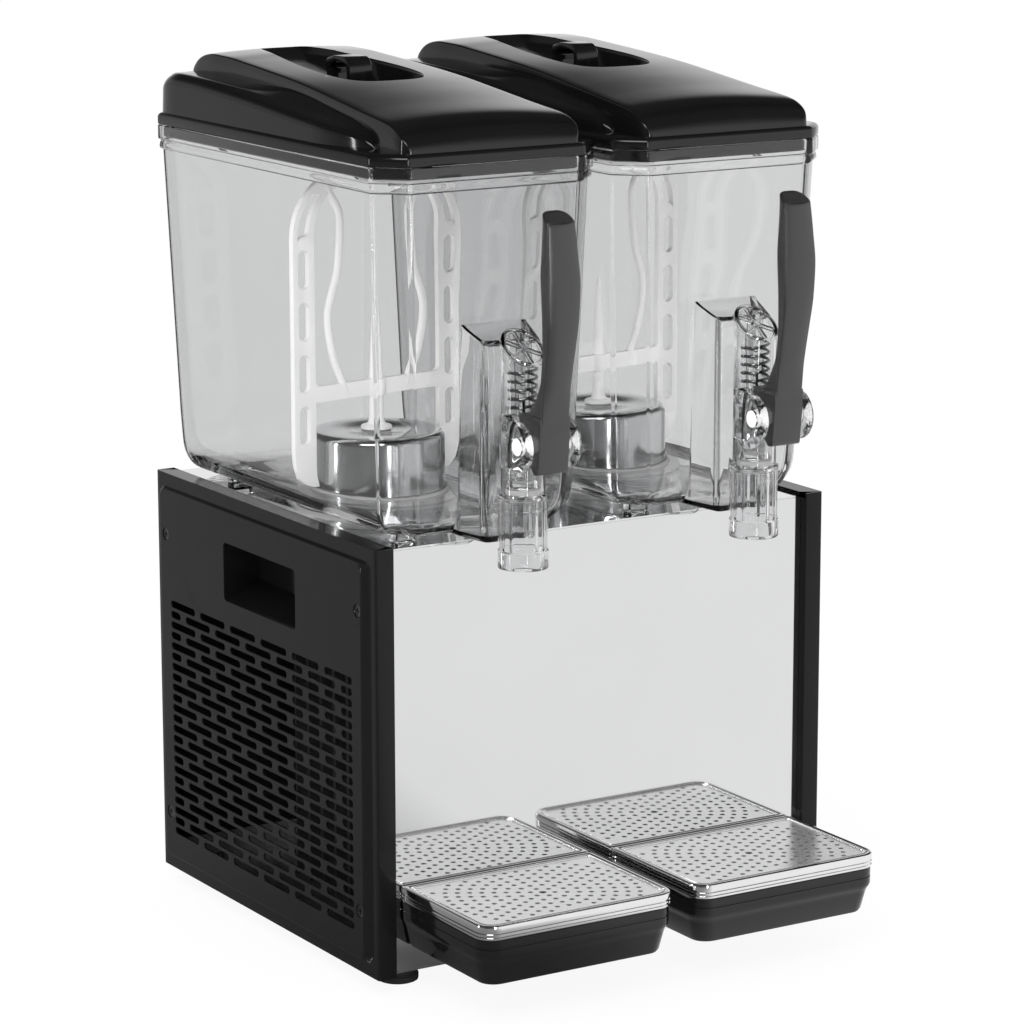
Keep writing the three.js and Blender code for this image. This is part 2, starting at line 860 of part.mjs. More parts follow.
function buildControls() {
  place(machine, 'control_plate', controlPlate(), glossBlack);
  place(machine, 'thermostat', thermostat(), plainSteel);
  const knob = place(machine, 'thermostat_knob', dial(), glossBlack,
    controlX + dialX, plateFace + seatGap, controlZ);
  knob.rotation.x = -Math.PI / 2;
  const switches = [['power_switch', mainRockerX], ['left_stir_switch', leftRockerX],
    ['right_stir_switch', rightRockerX]];
  switches.forEach(([name, x]) => {
    const key = place(machine, name, rocker(), glossBlack, controlX + x, rearFace, controlZ);
    key.rotation.x = THREE.MathUtils.degToRad(rockerTilt);
  });
}

function buildCabinet() {
  buildCabinetSides();
  place(machine, 'base_pan', basePan(), plainSteel);
  place(machine, 'front_panel', frontPanel(), polishedSteel);
  place(machine, 'rear_panel', rearPanel(), blackPaint);
  place(machine, 'top_deck', topDeck(), polishedSteel);
  place(machine, 'cord_gland', cordGland(), glossBlack);
  const names = ['foot_front_left', 'foot_front_right', 'foot_rear_left', 'foot_rear_right'];
  footPlaces().forEach(([x, y], i) => place(machine, names[i], foot(), softRubber, x, y, 0));
}

// Compressor: a welded can on a three-point base plate.
function compressor() {
  const low = panFloorTop + seatGap;
  const plate = compressorFeet / 4;
  const shoulder = compressorRadius / 3;
  const can = turned([
    [0, low + compressorFeet], [compressorRadius - shoulder, low + compressorFeet],
    [compressorRadius, low + compressorFeet + shoulder],
    [compressorRadius, low + compressorHeight - shoulder],
    [compressorRadius - shoulder / 3, low + compressorHeight - shoulder / 3],
    [compressorRadius - shoulder, low + compressorHeight], [0, low + compressorHeight],
  ], 14);
  const base = block([-compressorRadius, compressorRadius], [-compressorRadius, compressorRadius],
    [low + compressorFeet - plate, low + compressorFeet + plate]);
  const legs = [[-1, -1], [1, -1], [-1, 1], [1, 1]].map(([x, y]) => {
    const reach = compressorRadius - compressorFeet / 2;
    return moved(drum(compressorFeet / 2, low, low + compressorFeet, 8), x * reach, y * reach, 0);
  });
  return joined([can, base, ...legs]);
}

// Condenser: a comb of fins on both faces of a core slab, seen from above and raised to height.
function condenser() {
  const points = [];
  const pitch = condenserDepth / condenserFins;
  const edges = [condenserCore / 2, condenserThickness / 2];
  const sideOf = (sign) => {
    const run = [];
    for (let i = 0; i < condenserFins; i += 1) {
      const start = -condenserDepth / 2 + i * pitch;
      run.push([sign * edges[1], start], [sign * edges[1], start + finThickness]);
      if (i < condenserFins - 1) {
        run.push([sign * edges[0], start + finThickness], [sign * edges[0], start + pitch]);
      }
    }
    return run;
  };
  points.push(...sideOf(1), ...sideOf(-1).reverse());
  const low = panFloorTop + seatGap;
  return prismZ(outline(points), low, low + condenserHeight);
}

// Fan shroud: a plate with a round throat and a short collar, on the condenser's inner side.
const fanZ = panFloorTop + seatGap + condenserHeight / 2;
const shroudX = condenserX + condenserThickness / 2 + shroudGap;

function fanShroud() {
  const low = panFloorTop + seatGap;
  const throat = fanRadius + fanTipGap;
  const plate = block([0, shroudThickness], [-condenserDepth / 2, condenserDepth / 2],
    [low, low + condenserHeight]);
  const collar = rotated(drum(throat + shroudThickness, 0, shroudDepth, 18), unitY, Math.PI / 2);
  const cut = rotated(drum(throat, -overrun, shroudDepth + overrun, 18), unitY, Math.PI / 2);
  const arm = block([shroudDepth - shroudThickness, shroudDepth], [-fanArm / 2, fanArm / 2],
    [-throat - shroudThickness / 2, throat + shroudThickness / 2]);
  const cross = rotated(arm, unitX, Math.PI / 2);
  const seat = rotated(drum(fanMotorRadius, shroudDepth - shroudThickness, shroudDepth, 12),
    unitY, Math.PI / 2);
  const bore = rotated(drum(fanShaft + 2 * runningGap, 0, shroudDepth + overrun, 8), unitY, Math.PI / 2);
  const body = joined([plate, moved(collar, 0, 0, fanZ)]).subtract(moved(cut, 0, 0, fanZ));
  return body.add(moved(joined([arm, cross, seat]).subtract(bore), 0, 0, fanZ));
}

function fanMotor() {
  const low = shroudDepth + seatGap;
  const can = drum(fanMotorRadius - fanArm / 2, low, low + fanMotorLength, 14);
  const shaft = drum(fanShaft, shroudDepth - shroudThickness - fanHubLength / 2, low + fanArm, 8);
  return rotated(joined([can, shaft]), unitY, Math.PI / 2);
}

// Fan: twisted blades on a hub, pushed onto the motor's shaft.
function fanBlade() {
  const hubHigh = shroudDepth - shroudThickness - 2 * runningGap;
  const hubLow = hubHigh - fanHubLength + fanArm / 2;
  const hub = drum(fanHub, hubLow, hubHigh, 10);
  const mid = (hubLow + hubHigh) / 2;
  const blades = [];
  for (let i = 0; i < fanBlades; i += 1) {
    blades.push(rotated(fanWing(mid), unitZ, (i / fanBlades) * 2 * Math.PI));
  }
  const bore = drum(fanShaft + seatGap, shroudDepth - shroudThickness - fanHubLength / 2 - seatGap,
    hubHigh + overrun, 8);
  return rotated(joined([hub, ...blades]).subtract(bore), unitY, Math.PI / 2);
}

// A blade is three levels, each wider and flatter than the one inside it.
const bladeRootShare = 0.9;
const bladeChordShares = [0.9, 1.7, 2.1];
const bladePitches = [0.75, 0.5, 0.35];
const bladeFlatShare = 0.6;

function fanWing(mid) {
  const stations = [fanHub * bladeRootShare, (fanHub + fanRadius) / 2, fanRadius];
  const chords = bladeChordShares.map((share) => fanHub * share);
  const rings = stations.map((reach, i) => {
    const rise = (chords[i] / 2) * Math.sin(bladePitches[i]) * bladeFlatShare;
    const run = (chords[i] / 2) * Math.cos(bladePitches[i]);
    const half = fanBladeThickness / 2;
    return [
      new THREE.Vector3(reach, -run, mid - rise - half), new THREE.Vector3(reach, run, mid + rise - half),
      new THREE.Vector3(reach, run, mid + rise + half), new THREE.Vector3(reach, -run, mid - rise + half),
    ];
  });
  return skinned(rings);
}

function buildCoolingUnit() {
  place(machine, 'compressor', compressor(), castBlack, compressorX, compressorY, 0);
  place(machine, 'condenser', condenser(), finAluminium, condenserX, 0, 0);
  place(machine, 'fan_shroud', fanShroud(), plainSteel, shroudX, 0, 0);
  place(machine, 'fan_motor', fanMotor(), castBlack, shroudX, 0, fanZ);
  place(machine, 'fan_blade', fanBlade(), finAluminium, shroudX, 0, fanZ);
}

// Station parts are modelled about the tank's upright axis, x = 0, and placed by the station's group.
function dome() {
  const inner = domeRadius - domeWall;
  const under = domeTop - domeWall;
  return turned([
    [0, under], [inner - domeEdge / 2, under], [inner, under - domeEdge / 2], [inner, domeBottom],
    [domeRadius, domeBottom], [domeRadius, domeTop - domeEdge], [domeRadius - domeEdge, domeTop],
    [0, domeTop],
  ], 20);
}

const motorTop = deckUnder - seatGap;
const boreFloor = motorTop - driveShaftDepth;

function stirMotor() {
  const bore = driveShaft + seatGap;
  return turned([
    [0, motorTop - motorLength], [motorRadius, motorTop - motorLength],
    [motorRadius, motorTop - motorFlangeThickness], [motorFlange, motorTop - motorFlangeThickness],
    [motorFlange, motorTop], [bore, motorTop], [bore, boreFloor], [0, boreFloor],
  ], 14);
}

function driveRotor() {
  const high = domeTop - domeWall - rotorToDome;
  return turned([
    [0, boreFloor + seatGap], [driveShaft, boreFloor + seatGap], [driveShaft, high - rotorThickness],
    [rotorRadius, high - rotorThickness], [rotorRadius, high], [0, high],
  ], 14);
}

function gasket() {
  const inner = domeRadius + seatGap;
  return turned([
    [inner, domeBottom], [domeRadius + gasketFlange, domeBottom],
    [domeRadius + gasketFlange, tankBottom - seatGap], [inner + gasketLip, tankBottom - seatGap],
    [inner + gasketLip, domeBottom + gasketLipHeight], [inner, domeBottom + gasketLipHeight],
    [inner, domeBottom],
  ], 20);
}

// Tank: outer and inner skins over the same levels, with the tap housing on the front wall.
function tankRings(inset, low, high) {
  const heel = tankBottom + tankHeelHeight;
  const waistWidth = tankTopHalfWidth - tankTaper - inset;
  const waistDepth = tankTopHalfDepth - tankTaper - inset;
  const chamfer = tankChamfer - inset / 2;
  const sole = tankHeelInset;
  const levels = [
    [waistWidth - sole, waistDepth - sole, low],
    [waistWidth - sole / 2, waistDepth - sole / 2, low + tankHeelHeight / 6],
    [waistWidth - sole / 8, waistDepth - sole / 8, low + tankHeelHeight / 2],
    [waistWidth, waistDepth, heel],
    [tankTopHalfWidth - inset, tankTopHalfDepth - inset, high],
  ];
  return levels.map(([x, y, z]) => chamferedRing(x, y, chamfer, z));
}

function housingOutline(inset, nose, root) {
  return outline([
    [-housingRootHalfWidth + inset, root], [-housingNoseHalfWidth + inset, nose],
    [housingNoseHalfWidth - inset, nose], [housingRootHalfWidth - inset, root],
  ]);
}

function tapHousing() {
  const root = -(tankTopHalfDepth - tankTaper - tankHeelInset) + tankWall;
  const body = prismZ(housingOutline(0, housingNoseY, root), tankBottom, housingTop + housingRise);
  const slope = outline([
    [housingNoseY - overrun, housingTop], [root + overrun, housingTop + 2 * housingRise],
    [housingNoseY - overrun, housingTop + 2 * housingRise],
  ]);
  return body.subtract(prismX(slope, -housingRootHalfWidth - overrun, housingRootHalfWidth + overrun));
}

function housingHollow() {
  const root = -(tankTopHalfDepth - tankTaper) + 2 * tankHeelInset;
  const shape = housingOutline(housingWall, housingNoseY + housingFrontWall, root);
  return prismZ(shape, tankBottom + tankFloor, housingTop - housingWall);
}

function tank() {
  const outer = skinned(tankRings(0, tankBottom, rimTop));
  const rimRings = [
    chamferedRing(rimHalfWidth, rimHalfDepth, tankChamfer, rimBottom),
    chamferedRing(rimHalfWidth, rimHalfDepth, tankChamfer, rimTop),
  ];
  const feet = [-1, 1].flatMap((x) => [-1, 1].map((y) => block(
    [x * tankFootX - tankFootWidth / 2, x * tankFootX + tankFootWidth / 2],
    [y * tankFootY - tankFootWidth / 3, y * tankFootY + tankFootWidth / 3],
    [deckTop + seatGap, tankBottom + tankFloor / 2])));
  const inner = skinned(tankRings(tankWall, tankBottom + tankFloor, rimTop + overrun));
  const floorHole = moved(drum(domeRadius + 2 * seatGap + gasketLip, tankBottom - overrun,
    tankBottom + tankFloor + overrun, 20), 0, domeY, 0);
  const cradle = moved(drum(barrelRadius + cradleGap, tankBottom - overrun, housingTop + tankHeight / 2, 20),
    0, tapY, 0);
  const saddleCut = block([-earOuter - cradleGap, earOuter + cradleGap],
    [tapY - barrelRadius, tapY + barrelRadius / 2],
    [pivotZ - earRootDown - cradleGap, pivotZ + earRootUp + cradleGap]);
  const spoutCut = moved(drum(spoutRadius + spoutLipProud + cradleGap, tankBottom - overrun,
    barrelBottom + cradleGap, 20), 0, tapY, 0);
  const port = rotatedPort(portBore, housingNoseY, housingNoseY + 2 * housingFrontWall);
  const body = joined([outer, skinned(rimRings), tapHousing(), ...feet]);
  return without(body, [inner, housingHollow(), floorHole, cradle, saddleCut, spoutCut, port]);
}

function rotatedPort(radius, low, high) {
  const alongZ = drum(radius, -high, -low, 10);
  return moved(rotated(alongZ, unitX, Math.PI / 2), 0, 0, portHeight);
}

// Paddle, drawn in the XZ plane: arch, ladder arms, lyre rods, cross bar and tails in one moulding.
const lyreReachShares = [0.57, 0.42, 0.44, 0.57, 0.51, 0.38];
const lyreHeightShares = [1, 0.83, 0.61, 0.36, 0.17, 0];
const lyreDropShare = 1.4;

function lyreCurve(side, shift) {
  const low = crossBarBottom + crossBarHeight / 2;
  const high = paddleTop - lyreDropShare * archThickness;
  const points = lyreReachShares.map((reach, i) => new THREE.Vector2(
    side * (paddleReach * reach + shift), low + (high - low) * lyreHeightShares[i]));
  return new THREE.SplineCurve(points).getPoints(8);
}

function paddleOutline() {
  const shape = new THREE.Shape();
  const inner = paddleReach - armWidth;
  const turnZ = paddleTop - paddleShoulder;
  shape.moveTo(tailTipReach, tailTip);
  shape.quadraticCurveTo(paddleReach, tailTip + railWidth, paddleReach, tailRoot);
  shape.lineTo(paddleReach, turnZ);
  shape.absarc(paddleReach - paddleShoulder, turnZ, paddleShoulder, 0, Math.PI / 2);
  shape.lineTo(-paddleReach + paddleShoulder, paddleTop);
  shape.absarc(-paddleReach + paddleShoulder, turnZ, paddleShoulder, Math.PI / 2, Math.PI);
  shape.lineTo(-paddleReach, tailRoot);
  shape.quadraticCurveTo(-paddleReach, tailTip + railWidth, -tailTipReach, tailTip);
  shape.lineTo(-tailTipReach + tailTipWidth, tailTip);
  shape.quadraticCurveTo(-inner, tailTip + 2 * railWidth, -inner, tailRoot);
  shape.lineTo(-inner, crossBarBottom);
  shape.lineTo(inner, crossBarBottom);
  shape.lineTo(inner, tailRoot);
  shape.quadraticCurveTo(inner, tailTip + 2 * railWidth, tailTipReach - tailTipWidth, tailTip);
  return shape;
}

function lyreRod(side) {
  const outer = lyreCurve(side, lyreWidth / 2);
  const inner = lyreCurve(side, -lyreWidth / 2);
  return new THREE.Shape([...outer, ...inner.reverse()]);
}

function harpOpening() {
  const inner = paddleReach - armWidth;
  const bend = paddleShoulder - armWidth + archThickness;
  const turnZ = paddleTop - archThickness - bend;
  const foot = crossBarBottom + crossBarHeight;
  const shape = new THREE.Shape();
  shape.moveTo(-inner, foot);
  shape.lineTo(inner, foot);
  shape.lineTo(inner, turnZ);
  shape.absarc(inner - bend, turnZ, bend, 0, Math.PI / 2);
  shape.absarc(-inner + bend, turnZ, bend, Math.PI / 2, Math.PI);
  return shape;
}

function ladderWindow(side, low) {
  const left = side > 0 ? paddleReach - armWidth + railWidth : -paddleReach + railWidth;
  const right = left + armWidth - 2 * railWidth;
  const half = paddleDepth / 2 + overrun;
  return block([left, right], [-half, half], [low, low + windowLength]);
}

function paddleHub() {
  const low = domeTop + seatGap;
  const collarLow = crossBarBottom + (crossBarHeight - hubCollarHeight) / 2;
  return turned([
    [0, low], [hubFlange, low], [hubFlange, low + hubFlangeHeight],
    [hubCollar, low + 2 * hubFlangeHeight], [hubShaft, collarLow], [hubCollar, collarLow],
    [hubCollar, collarLow + hubCollarHeight], [hubShaft, collarLow + hubCollarHeight],
    [spikeTip, spikeTop], [0, spikeTop],
  ], 10);
}

function paddle() {
  const half = paddleDepth / 2;
  const cuts = [prismY(harpOpening(), -half - overrun, half + overrun, 3)];
  windowRises.forEach((rise) => [1, -1].forEach((side) => cuts.push(ladderWindow(side, cabinetTop + rise))));
  const rods = [-1, 1].map((side) => prismY(lyreRod(side), -half, half));
  return joined([without(prismY(paddleOutline(), -half, half, 3), cuts), ...rods, paddleHub()]);
}

// Lid: cross-sections from the rear to the front give the shoulders and the sloped crown.
// Each row: place along the half depth, crown height share, shoulder height share, width share.
const lidStationShares = [
  [0.935, 0.06, 0.05, 0.87], [0.915, 0.44, 0.43, 0.92], [0.85, 0.68, 0.66, 0.97], [0.77, 0.8, 0.74, 0.985],
  [0.7, 1, 0.78, 0.985], [0.26, 0.96, 0.81, 0.985], [-0.3, 0.78, 0.67, 0.985], [-0.57, 0.64, 0.54, 0.985],
  [-0.74, 0.53, 0.42, 0.985], [-0.85, 0.46, 0.29, 0.98], [-0.92, 0.4, 0.12, 0.93], [-0.965, 0.31, 0.04, 0.89],
  [-0.982, 0.18, 0.03, 0.87], [-0.983, 0.03, 0.02, 0.865],
];

function lidSection(y, crown, shoulder, width, inset) {
  const base = rimHalfWidth * width - inset;
  const low = inset ? lidBottom - overrun : lidSkirtTop - sheet;
  const zw = Math.max(lidSkirtTop + humpRise * shoulder - inset, low + overrun);
  const zh = Math.max(lidSkirtTop + humpRise * crown - inset, zw + sheet / 4);
  const hump = Math.min(humpHalfWidth - inset, base - wingInset);
  const side = base - hump;
  const fall = Math.min((zw - low) / 2, 4 * wingInset);
  const edge = Math.min((zh - zw) / 2, wingInset);
  const half = [
    [base, low], [base, zw - fall], [base - side / 5, zw - fall / 4], [base - side / 2, zw],
    [hump + side / 8, zw - fall / 12], [hump, zh - edge], [hump - wingInset, zh - edge / 4],
    [hump - 3 * wingInset, zh], [hump / 2, zh + (humpCrown * crown) / 1.5],
  ];
  const left = half.map(([x, z]) => [-x, z]).reverse();
  return [...half, [0, zh + humpCrown * crown], ...left].map(([x, z]) => new THREE.Vector3(x, y, z));
}

function lidRings(inset, rows) {
  return rows.map(([station, crown, shoulder, width]) => {
    const y = (rimHalfDepth - inset) * station;
    return lidSection(y, crown, shoulder, width, inset);
  });
}

function lidTopAt(y) {
  const share = y / rimHalfDepth;
  const rows = lidStationShares;
  let i = 0;
  while (rows[i + 1][0] > share) {
    i += 1;
  }
  const mix = (rows[i][0] - share) / (rows[i][0] - rows[i + 1][0]);
  return lidSkirtTop + humpRise * (rows[i][1] + mix * (rows[i + 1][1] - rows[i][1]));
}

const wellFlankShare = 0.75;

function wellOutline(grow) {
  const mid = (wellRearY + wellFrontY) / 2;
  const halfDeep = (wellRearY - wellFrontY) / 2 + grow;
  const wide = wellHalfWidth + grow;
  return outline([
    [-wide, mid + halfDeep / 3], [-wide / 2, mid - halfDeep * wellFlankShare], [0, mid - halfDeep],
    [wide / 2, mid - halfDeep * wellFlankShare], [wide, mid + halfDeep / 3], [wide / 2, mid + halfDeep],
    [-wide / 2, mid + halfDeep],
  ]);
}

const barToeShare = 2.5;
const barHeelShare = 1.5;

function lidBar() {
  const rear = wellRearY + barOverlap;
  const front = wellFrontY - barOverlap;
  const rearZ = lidTopAt(rear);
  const frontZ = lidTopAt(front);
  const crest = (rear + front) / 2 + barOverlap;
  const top = lidTopAt(crest) + humpCrown + barRise;
  const side = outline([
    [rear, rearZ], [rear - barOverlap, rearZ + barRise / 2], [crest + barOverlap, top],
    [crest - barOverlap, top], [front + 2 * barOverlap, (top + frontZ) / 2], [front, frontZ],
    [front + barOverlap / 4, frontZ - barThickness],
    [front + barToeShare * barOverlap, (top + frontZ) / 2 - barThickness],
    [crest - barOverlap, top - barThickness], [crest + barOverlap / 2, top - barThickness],
    [rear - barHeelShare * barOverlap, rearZ - barThickness / 2],
    [rear - barOverlap / 2, rearZ - barThickness],
  ]);
  return prismX(side, -barHalfWidth, barHalfWidth);
}

function lid() {
  const skirt = [
    chamferedRing(rimHalfWidth, rimHalfDepth, tankChamfer, lidBottom),
    chamferedRing(rimHalfWidth, rimHalfDepth, tankChamfer, lidSkirtTop - sheet),
    chamferedRing(rimHalfWidth - sheet, rimHalfDepth - sheet, tankChamfer, lidSkirtTop),
  ];
  const plugX = tankTopHalfWidth - tankWall - plugGap;
  const plugY = tankTopHalfDepth - tankWall - plugGap;
  const plug = [
    chamferedRing(plugX - sheet / 2, plugY - sheet / 2, tankChamfer, lidBottom - plugDepth),
    chamferedRing(plugX, plugY, tankChamfer, lidBottom + sheet),
  ];
  const hollow = lidHollow(rimHalfWidth - plugX + plugWall);
  const floor = Math.min(lidTopAt(wellFrontY), lidTopAt(wellRearY)) - wellDepth;
  const well = prismZ(wellOutline(wellWall), floor - wellWall, lidTopAt(wellFrontY));
  const pocket = prismZ(wellOutline(0), floor, lidSkirtTop + 2 * humpRise);
  const crown = skinned(lidRings(0, lidStationShares));
  const cover = joined([crown, skinned(skirt), skinned(plug)]).subtract(hollow);
  return cover.add(well).subtract(pocket).add(lidBar());
}

// The hollow follows some of the lid's stations, each with its share of the hollow's width.
const hollowStationShares = [[1, 0.955], [3, 1], [4, 1], [5, 1], [7, 1], [9, 1], [11, 0.905]];

function lidHollow(inset) {
  const rings = hollowStationShares.map(([row, width]) => {
    const [station, crown, shoulder] = lidStationShares[row];
    const y = (rimHalfDepth - inset) * station;
    const reach = (rimHalfWidth - inset) * width;
    const zw = lidSkirtTop + humpRise * shoulder - 2 * lidWall;
    const zh = Math.max(lidSkirtTop + humpRise * crown - lidWall, zw + lidWall / 2);
    const hump = humpHalfWidth - 2 * lidWall;
    const low = lidBottom - plugDepth - overrun;
    const half = [[reach, low], [reach, Math.max(zw - lidWall, low + lidWall)],
      [reach - 2 * lidWall, Math.max(zw, low + 2 * lidWall)], [hump - lidWall, zh]];
    const left = half.map(([x, z]) => [-x, z]).reverse();
    return [...half, ...left].map(([x, z]) => new THREE.Vector3(x, y, z));
  });
  return skinned(rings);
}

// Tap barrel: an upright tube with a slanted ribbed cap, two ears for the lever and an outlet spout.
function barrelTube() {
  const high = barrelTopRear + overrun;
  const tube = drum(barrelRadius, barrelBottom - spoutLip, high, 16);
  const spout = drum(spoutRadius, spoutBottom, barrelBottom, 16);
  const lipBand = drum(spoutRadius + spoutLipProud, spoutBottom, spoutBottom + spoutLip, 16);
  return joined([tube, spout, lipBand]);
}

function capSlope() {
  const reach = barrelRadius + overrun;
  const slope = (barrelTopRear - barrelTopFront) / (2 * barrelRadius);
  const mid = (barrelTopRear + barrelTopFront) / 2;
  const high = barrelTopRear + reach;
  return prismX(outline([
    [-reach, mid - slope * reach], [reach, mid + slope * reach], [reach, high + reach],
    [-reach, high + reach],
  ]), -reach, reach);
}

function capRibsOnSlope() {
  const slope = Math.atan2(barrelTopRear - barrelTopFront, 2 * barrelRadius);
  const mid = (barrelTopRear + barrelTopFront) / 2;
  const reach = barrelRadius - capRib / 2;
  const ribs = [];
  for (let i = 0; i < capRibs / 2; i += 1) {
    const angle = ((i + 0.5) / (capRibs / 2)) * Math.PI;
    const bar = block([-reach, reach], [-capRib / 2, capRib / 2], [-capRibHeight, capRibHeight]);
    ribs.push(rotated(bar, unitZ, angle));
  }
  ribs.push(drum(2 * capRib, -capRibHeight, capRibHeight, 8));
  return moved(rotated(joined(ribs), unitX, slope), 0, 0, mid);
}

function ears() {
  const back = tapY;
  const shape = new THREE.Shape();
  shape.moveTo(back, pivotZ - earRootDown);
  shape.lineTo(pivotY, pivotZ - earRadius);
  shape.absarc(pivotY, pivotZ, earRadius, 1.5 * Math.PI, Math.PI / 2, true);
  shape.lineTo(back, pivotZ + earRootUp);
  const plates = [-1, 1].map((side) => {
    const faces = [side * earOuter, side * (earOuter - earThickness)].sort((a, b) => a - b);
    return prismX(shape, faces[0], faces[1], 4);
  });
  const saddle = block([-earOuter, earOuter], [saddleFront, tapY],
    [pivotZ - earRootDown, pivotZ + earRootUp]);
  return joined([...plates, saddle]);
}

function pivotHole(radius) {
  const alongZ = drum(radius, -2 * earOuter, 2 * earOuter, 12);
  return rotated(alongZ, unitY, Math.PI / 2);
}

function tapBarrel() {
  const shank = moved(barrelTube().subtract(capSlope()), 0, tapY, 0);
  const earPair = ears().subtract(moved(pivotHole(pinRadius + seatGap), 0, pivotY, pivotZ));
  const boreLow = drum(barrelBore, spoutBottom - overrun, seatTop - seatThickness, 16);
  const boreSeat = drum(seatBore, seatTop - seatThickness - overrun, seatTop + overrun, 16);
  const boreHigh = drum(barrelBore, seatTop, springCeiling + seatGap, 16);
  const bore = moved(joined([boreLow, boreSeat, boreHigh]), 0, tapY, 0);
  const slot = block([-slotHalfWidth, slotHalfWidth], [tapY - 2 * barrelRadius, tapY],
    [pivotZ - slotDown, pivotZ + slotUp]);
  const port = rotatedPort(portBore, tapY, tapY + 2 * barrelRadius);
  const ribs = moved(capRibsOnSlope(), 0, tapY, 0);
  return without(joined([shank, earPair]), [bore, slot, port]).add(ribs);
}

// Lever: a waisted grip over a rounded foot, with a finger that reaches into the barrel.
// Each row is one level of the grip: height, front and rear faces and half width.
const gripTop = 178;
const gripFront = 34.5;
const gripWidth = 14.5;
const gripLevelShares = [
  [0.08, 0.52, -0.24, 0.86], [0.18, 0.6, 0.12, 0.86], [0.27, 0.7, 0.41, 0.86], [0.42, 0.85, 0.53, 0.9],
  [0.57, 0.97, 0.56, 0.97], [0.71, 1, 0.54, 1], [0.84, 0.94, 0.46, 0.93], [1, 0.82, 0.36, 0.83],
];
const gripSlant = 9;
const slantShares = { fore: 0.2, aft: 0.8 };

function gripRing([rise, front, rear, width], last) {
  const half = gripWidth * width;
  const fore = -gripFront * front;
  const aft = -gripFront * rear;
  const bevel = half / 4;
  const z = gripTop * rise;
  const slant = last ? gripSlant : 0;
  return [
    [-half + bevel, fore, 0], [half - bevel, fore, 0], [half, fore + bevel, slant * slantShares.fore],
    [half, aft - bevel, slant * slantShares.aft], [half - bevel, aft, slant], [-half + bevel, aft, slant],
    [-half, aft - bevel, slant * slantShares.aft], [-half, fore + bevel, slant * slantShares.fore],
  ].map(([x, y, lift]) => new THREE.Vector3(x, y, z + lift));
}

// The foot of the lever, seen from the side: how far its flanks and its neck draw in.
const footFlankShare = 0.6;
const footNeckShare = 0.85;

function lever() {
  const last = gripLevelShares.length - 1;
  const grip = skinned(gripLevelShares.map((row, i) => gripRing(row, i === last)));
  const shape = new THREE.Shape();
  shape.moveTo(-footFront, footTop);
  shape.lineTo(-footFront, footTop / 2);
  shape.lineTo(-footFront / 2, -footDepth * footFlankShare);
  shape.lineTo(0, -footDepth);
  shape.lineTo(footBackRadius / 2, -footDepth * footFlankShare);
  shape.absarc(0, 0, footBackRadius, -Math.PI / 5, Math.PI / 6);
  shape.lineTo(footBackRadius * footNeckShare, footTop);
  const boss = prismX(shape, -footHalfWidth, footHalfWidth, 2);
  const finger = block([-fingerHalfWidth, fingerHalfWidth], [0, fingerTipY - pivotY],
    [-fingerHeight / 2, fingerHeight / 2]);
  return joined([grip, boss, finger]).subtract(pivotHole(pinRadius + seatGap));
}

function pivotPin() {
  const pin = drum(pinRadius, -earOuter - seatGap, earOuter - earThickness / 2, 12);
  return rotated(pin, unitY, Math.PI / 2);
}

// Plunger: a sealing foot, a thin neck past the inlet port and a piston with the finger's window.
function plunger() {
  const footLow = seatTop + seatGap - seatThickness;
  const shoulderLow = seatTop + 2 * seatGap + sealHeight;
  const neckLow = shoulderLow + plungerShoulder;
  const body = turned([
    [0, footLow], [plungerFoot, footLow], [plungerFoot, shoulderLow], [plungerRadius, shoulderLow],
    [plungerNeck, neckLow], [plungerNeck, pistonBottom], [plungerRadius, pistonBottom],
    [plungerRadius, pistonTop], [guideRadius, pistonTop], [guideRadius, pistonTop + guideLength],
    [0, pistonTop + guideLength],
  ], 14);
  const window = block([-windowHalfWidth, windowHalfWidth], [-plungerRadius - overrun, windowRear],
    [pivotZ - windowDown, pivotZ + windowUp]);
  return body.subtract(window);
}

function plungerSeal() {
  const low = seatTop + seatGap;
  return ring(plungerFoot + seatGap, plungerRadius, low, low + sealHeight, 14);
}

// Spring: one unbroken helical wire between the plunger's top and the barrel's cap.
const springLow = pistonTop + seatGap + springWire;
const springHigh = springCeiling - springWire;
const curlSteps = 8;
const wireSides = 5;

function springPoints() {
  const points = [];
  const steps = springCurls * curlSteps;
  for (let i = 0; i <= steps; i += 1) {
    const angle = (i / curlSteps) * 2 * Math.PI;
    const height = springLow + ((springHigh - springLow) * i) / steps;
    points.push(new THREE.Vector3(springRadius * Math.cos(angle), springRadius * Math.sin(angle), height));
  }
  return points;
}

function valveSpring() {
  const rings = springPoints().map((centre, i) => {
    const angle = (i / curlSteps) * 2 * Math.PI;
    const outward = new THREE.Vector3(Math.cos(angle), Math.sin(angle), 0);
    const ringPoints = [];
    for (let s = 0; s < wireSides; s += 1) {
      const turn = (s / wireSides) * 2 * Math.PI;
      const point = centre.clone().addScaledVector(outward, springWire * Math.cos(turn));
      point.z += springWire * Math.sin(turn);
      ringPoints.push(point);
    }
    return ringPoints;
  });
  return skinned(rings);
}

function leastCurlGap() {
  const points = springPoints();
  let least = Infinity;
  points.forEach((point, i) => {
    points.slice(i + curlSteps / 2).forEach((other) => {
      least = Math.min(least, point.distanceTo(other) - 2 * springWire);
    });
  });
  return least;
}

// Drip tray: basin with hooks, a ridged bezel and a perforated grid, modelled about the tray's axis.
const cornerSteps = 3;

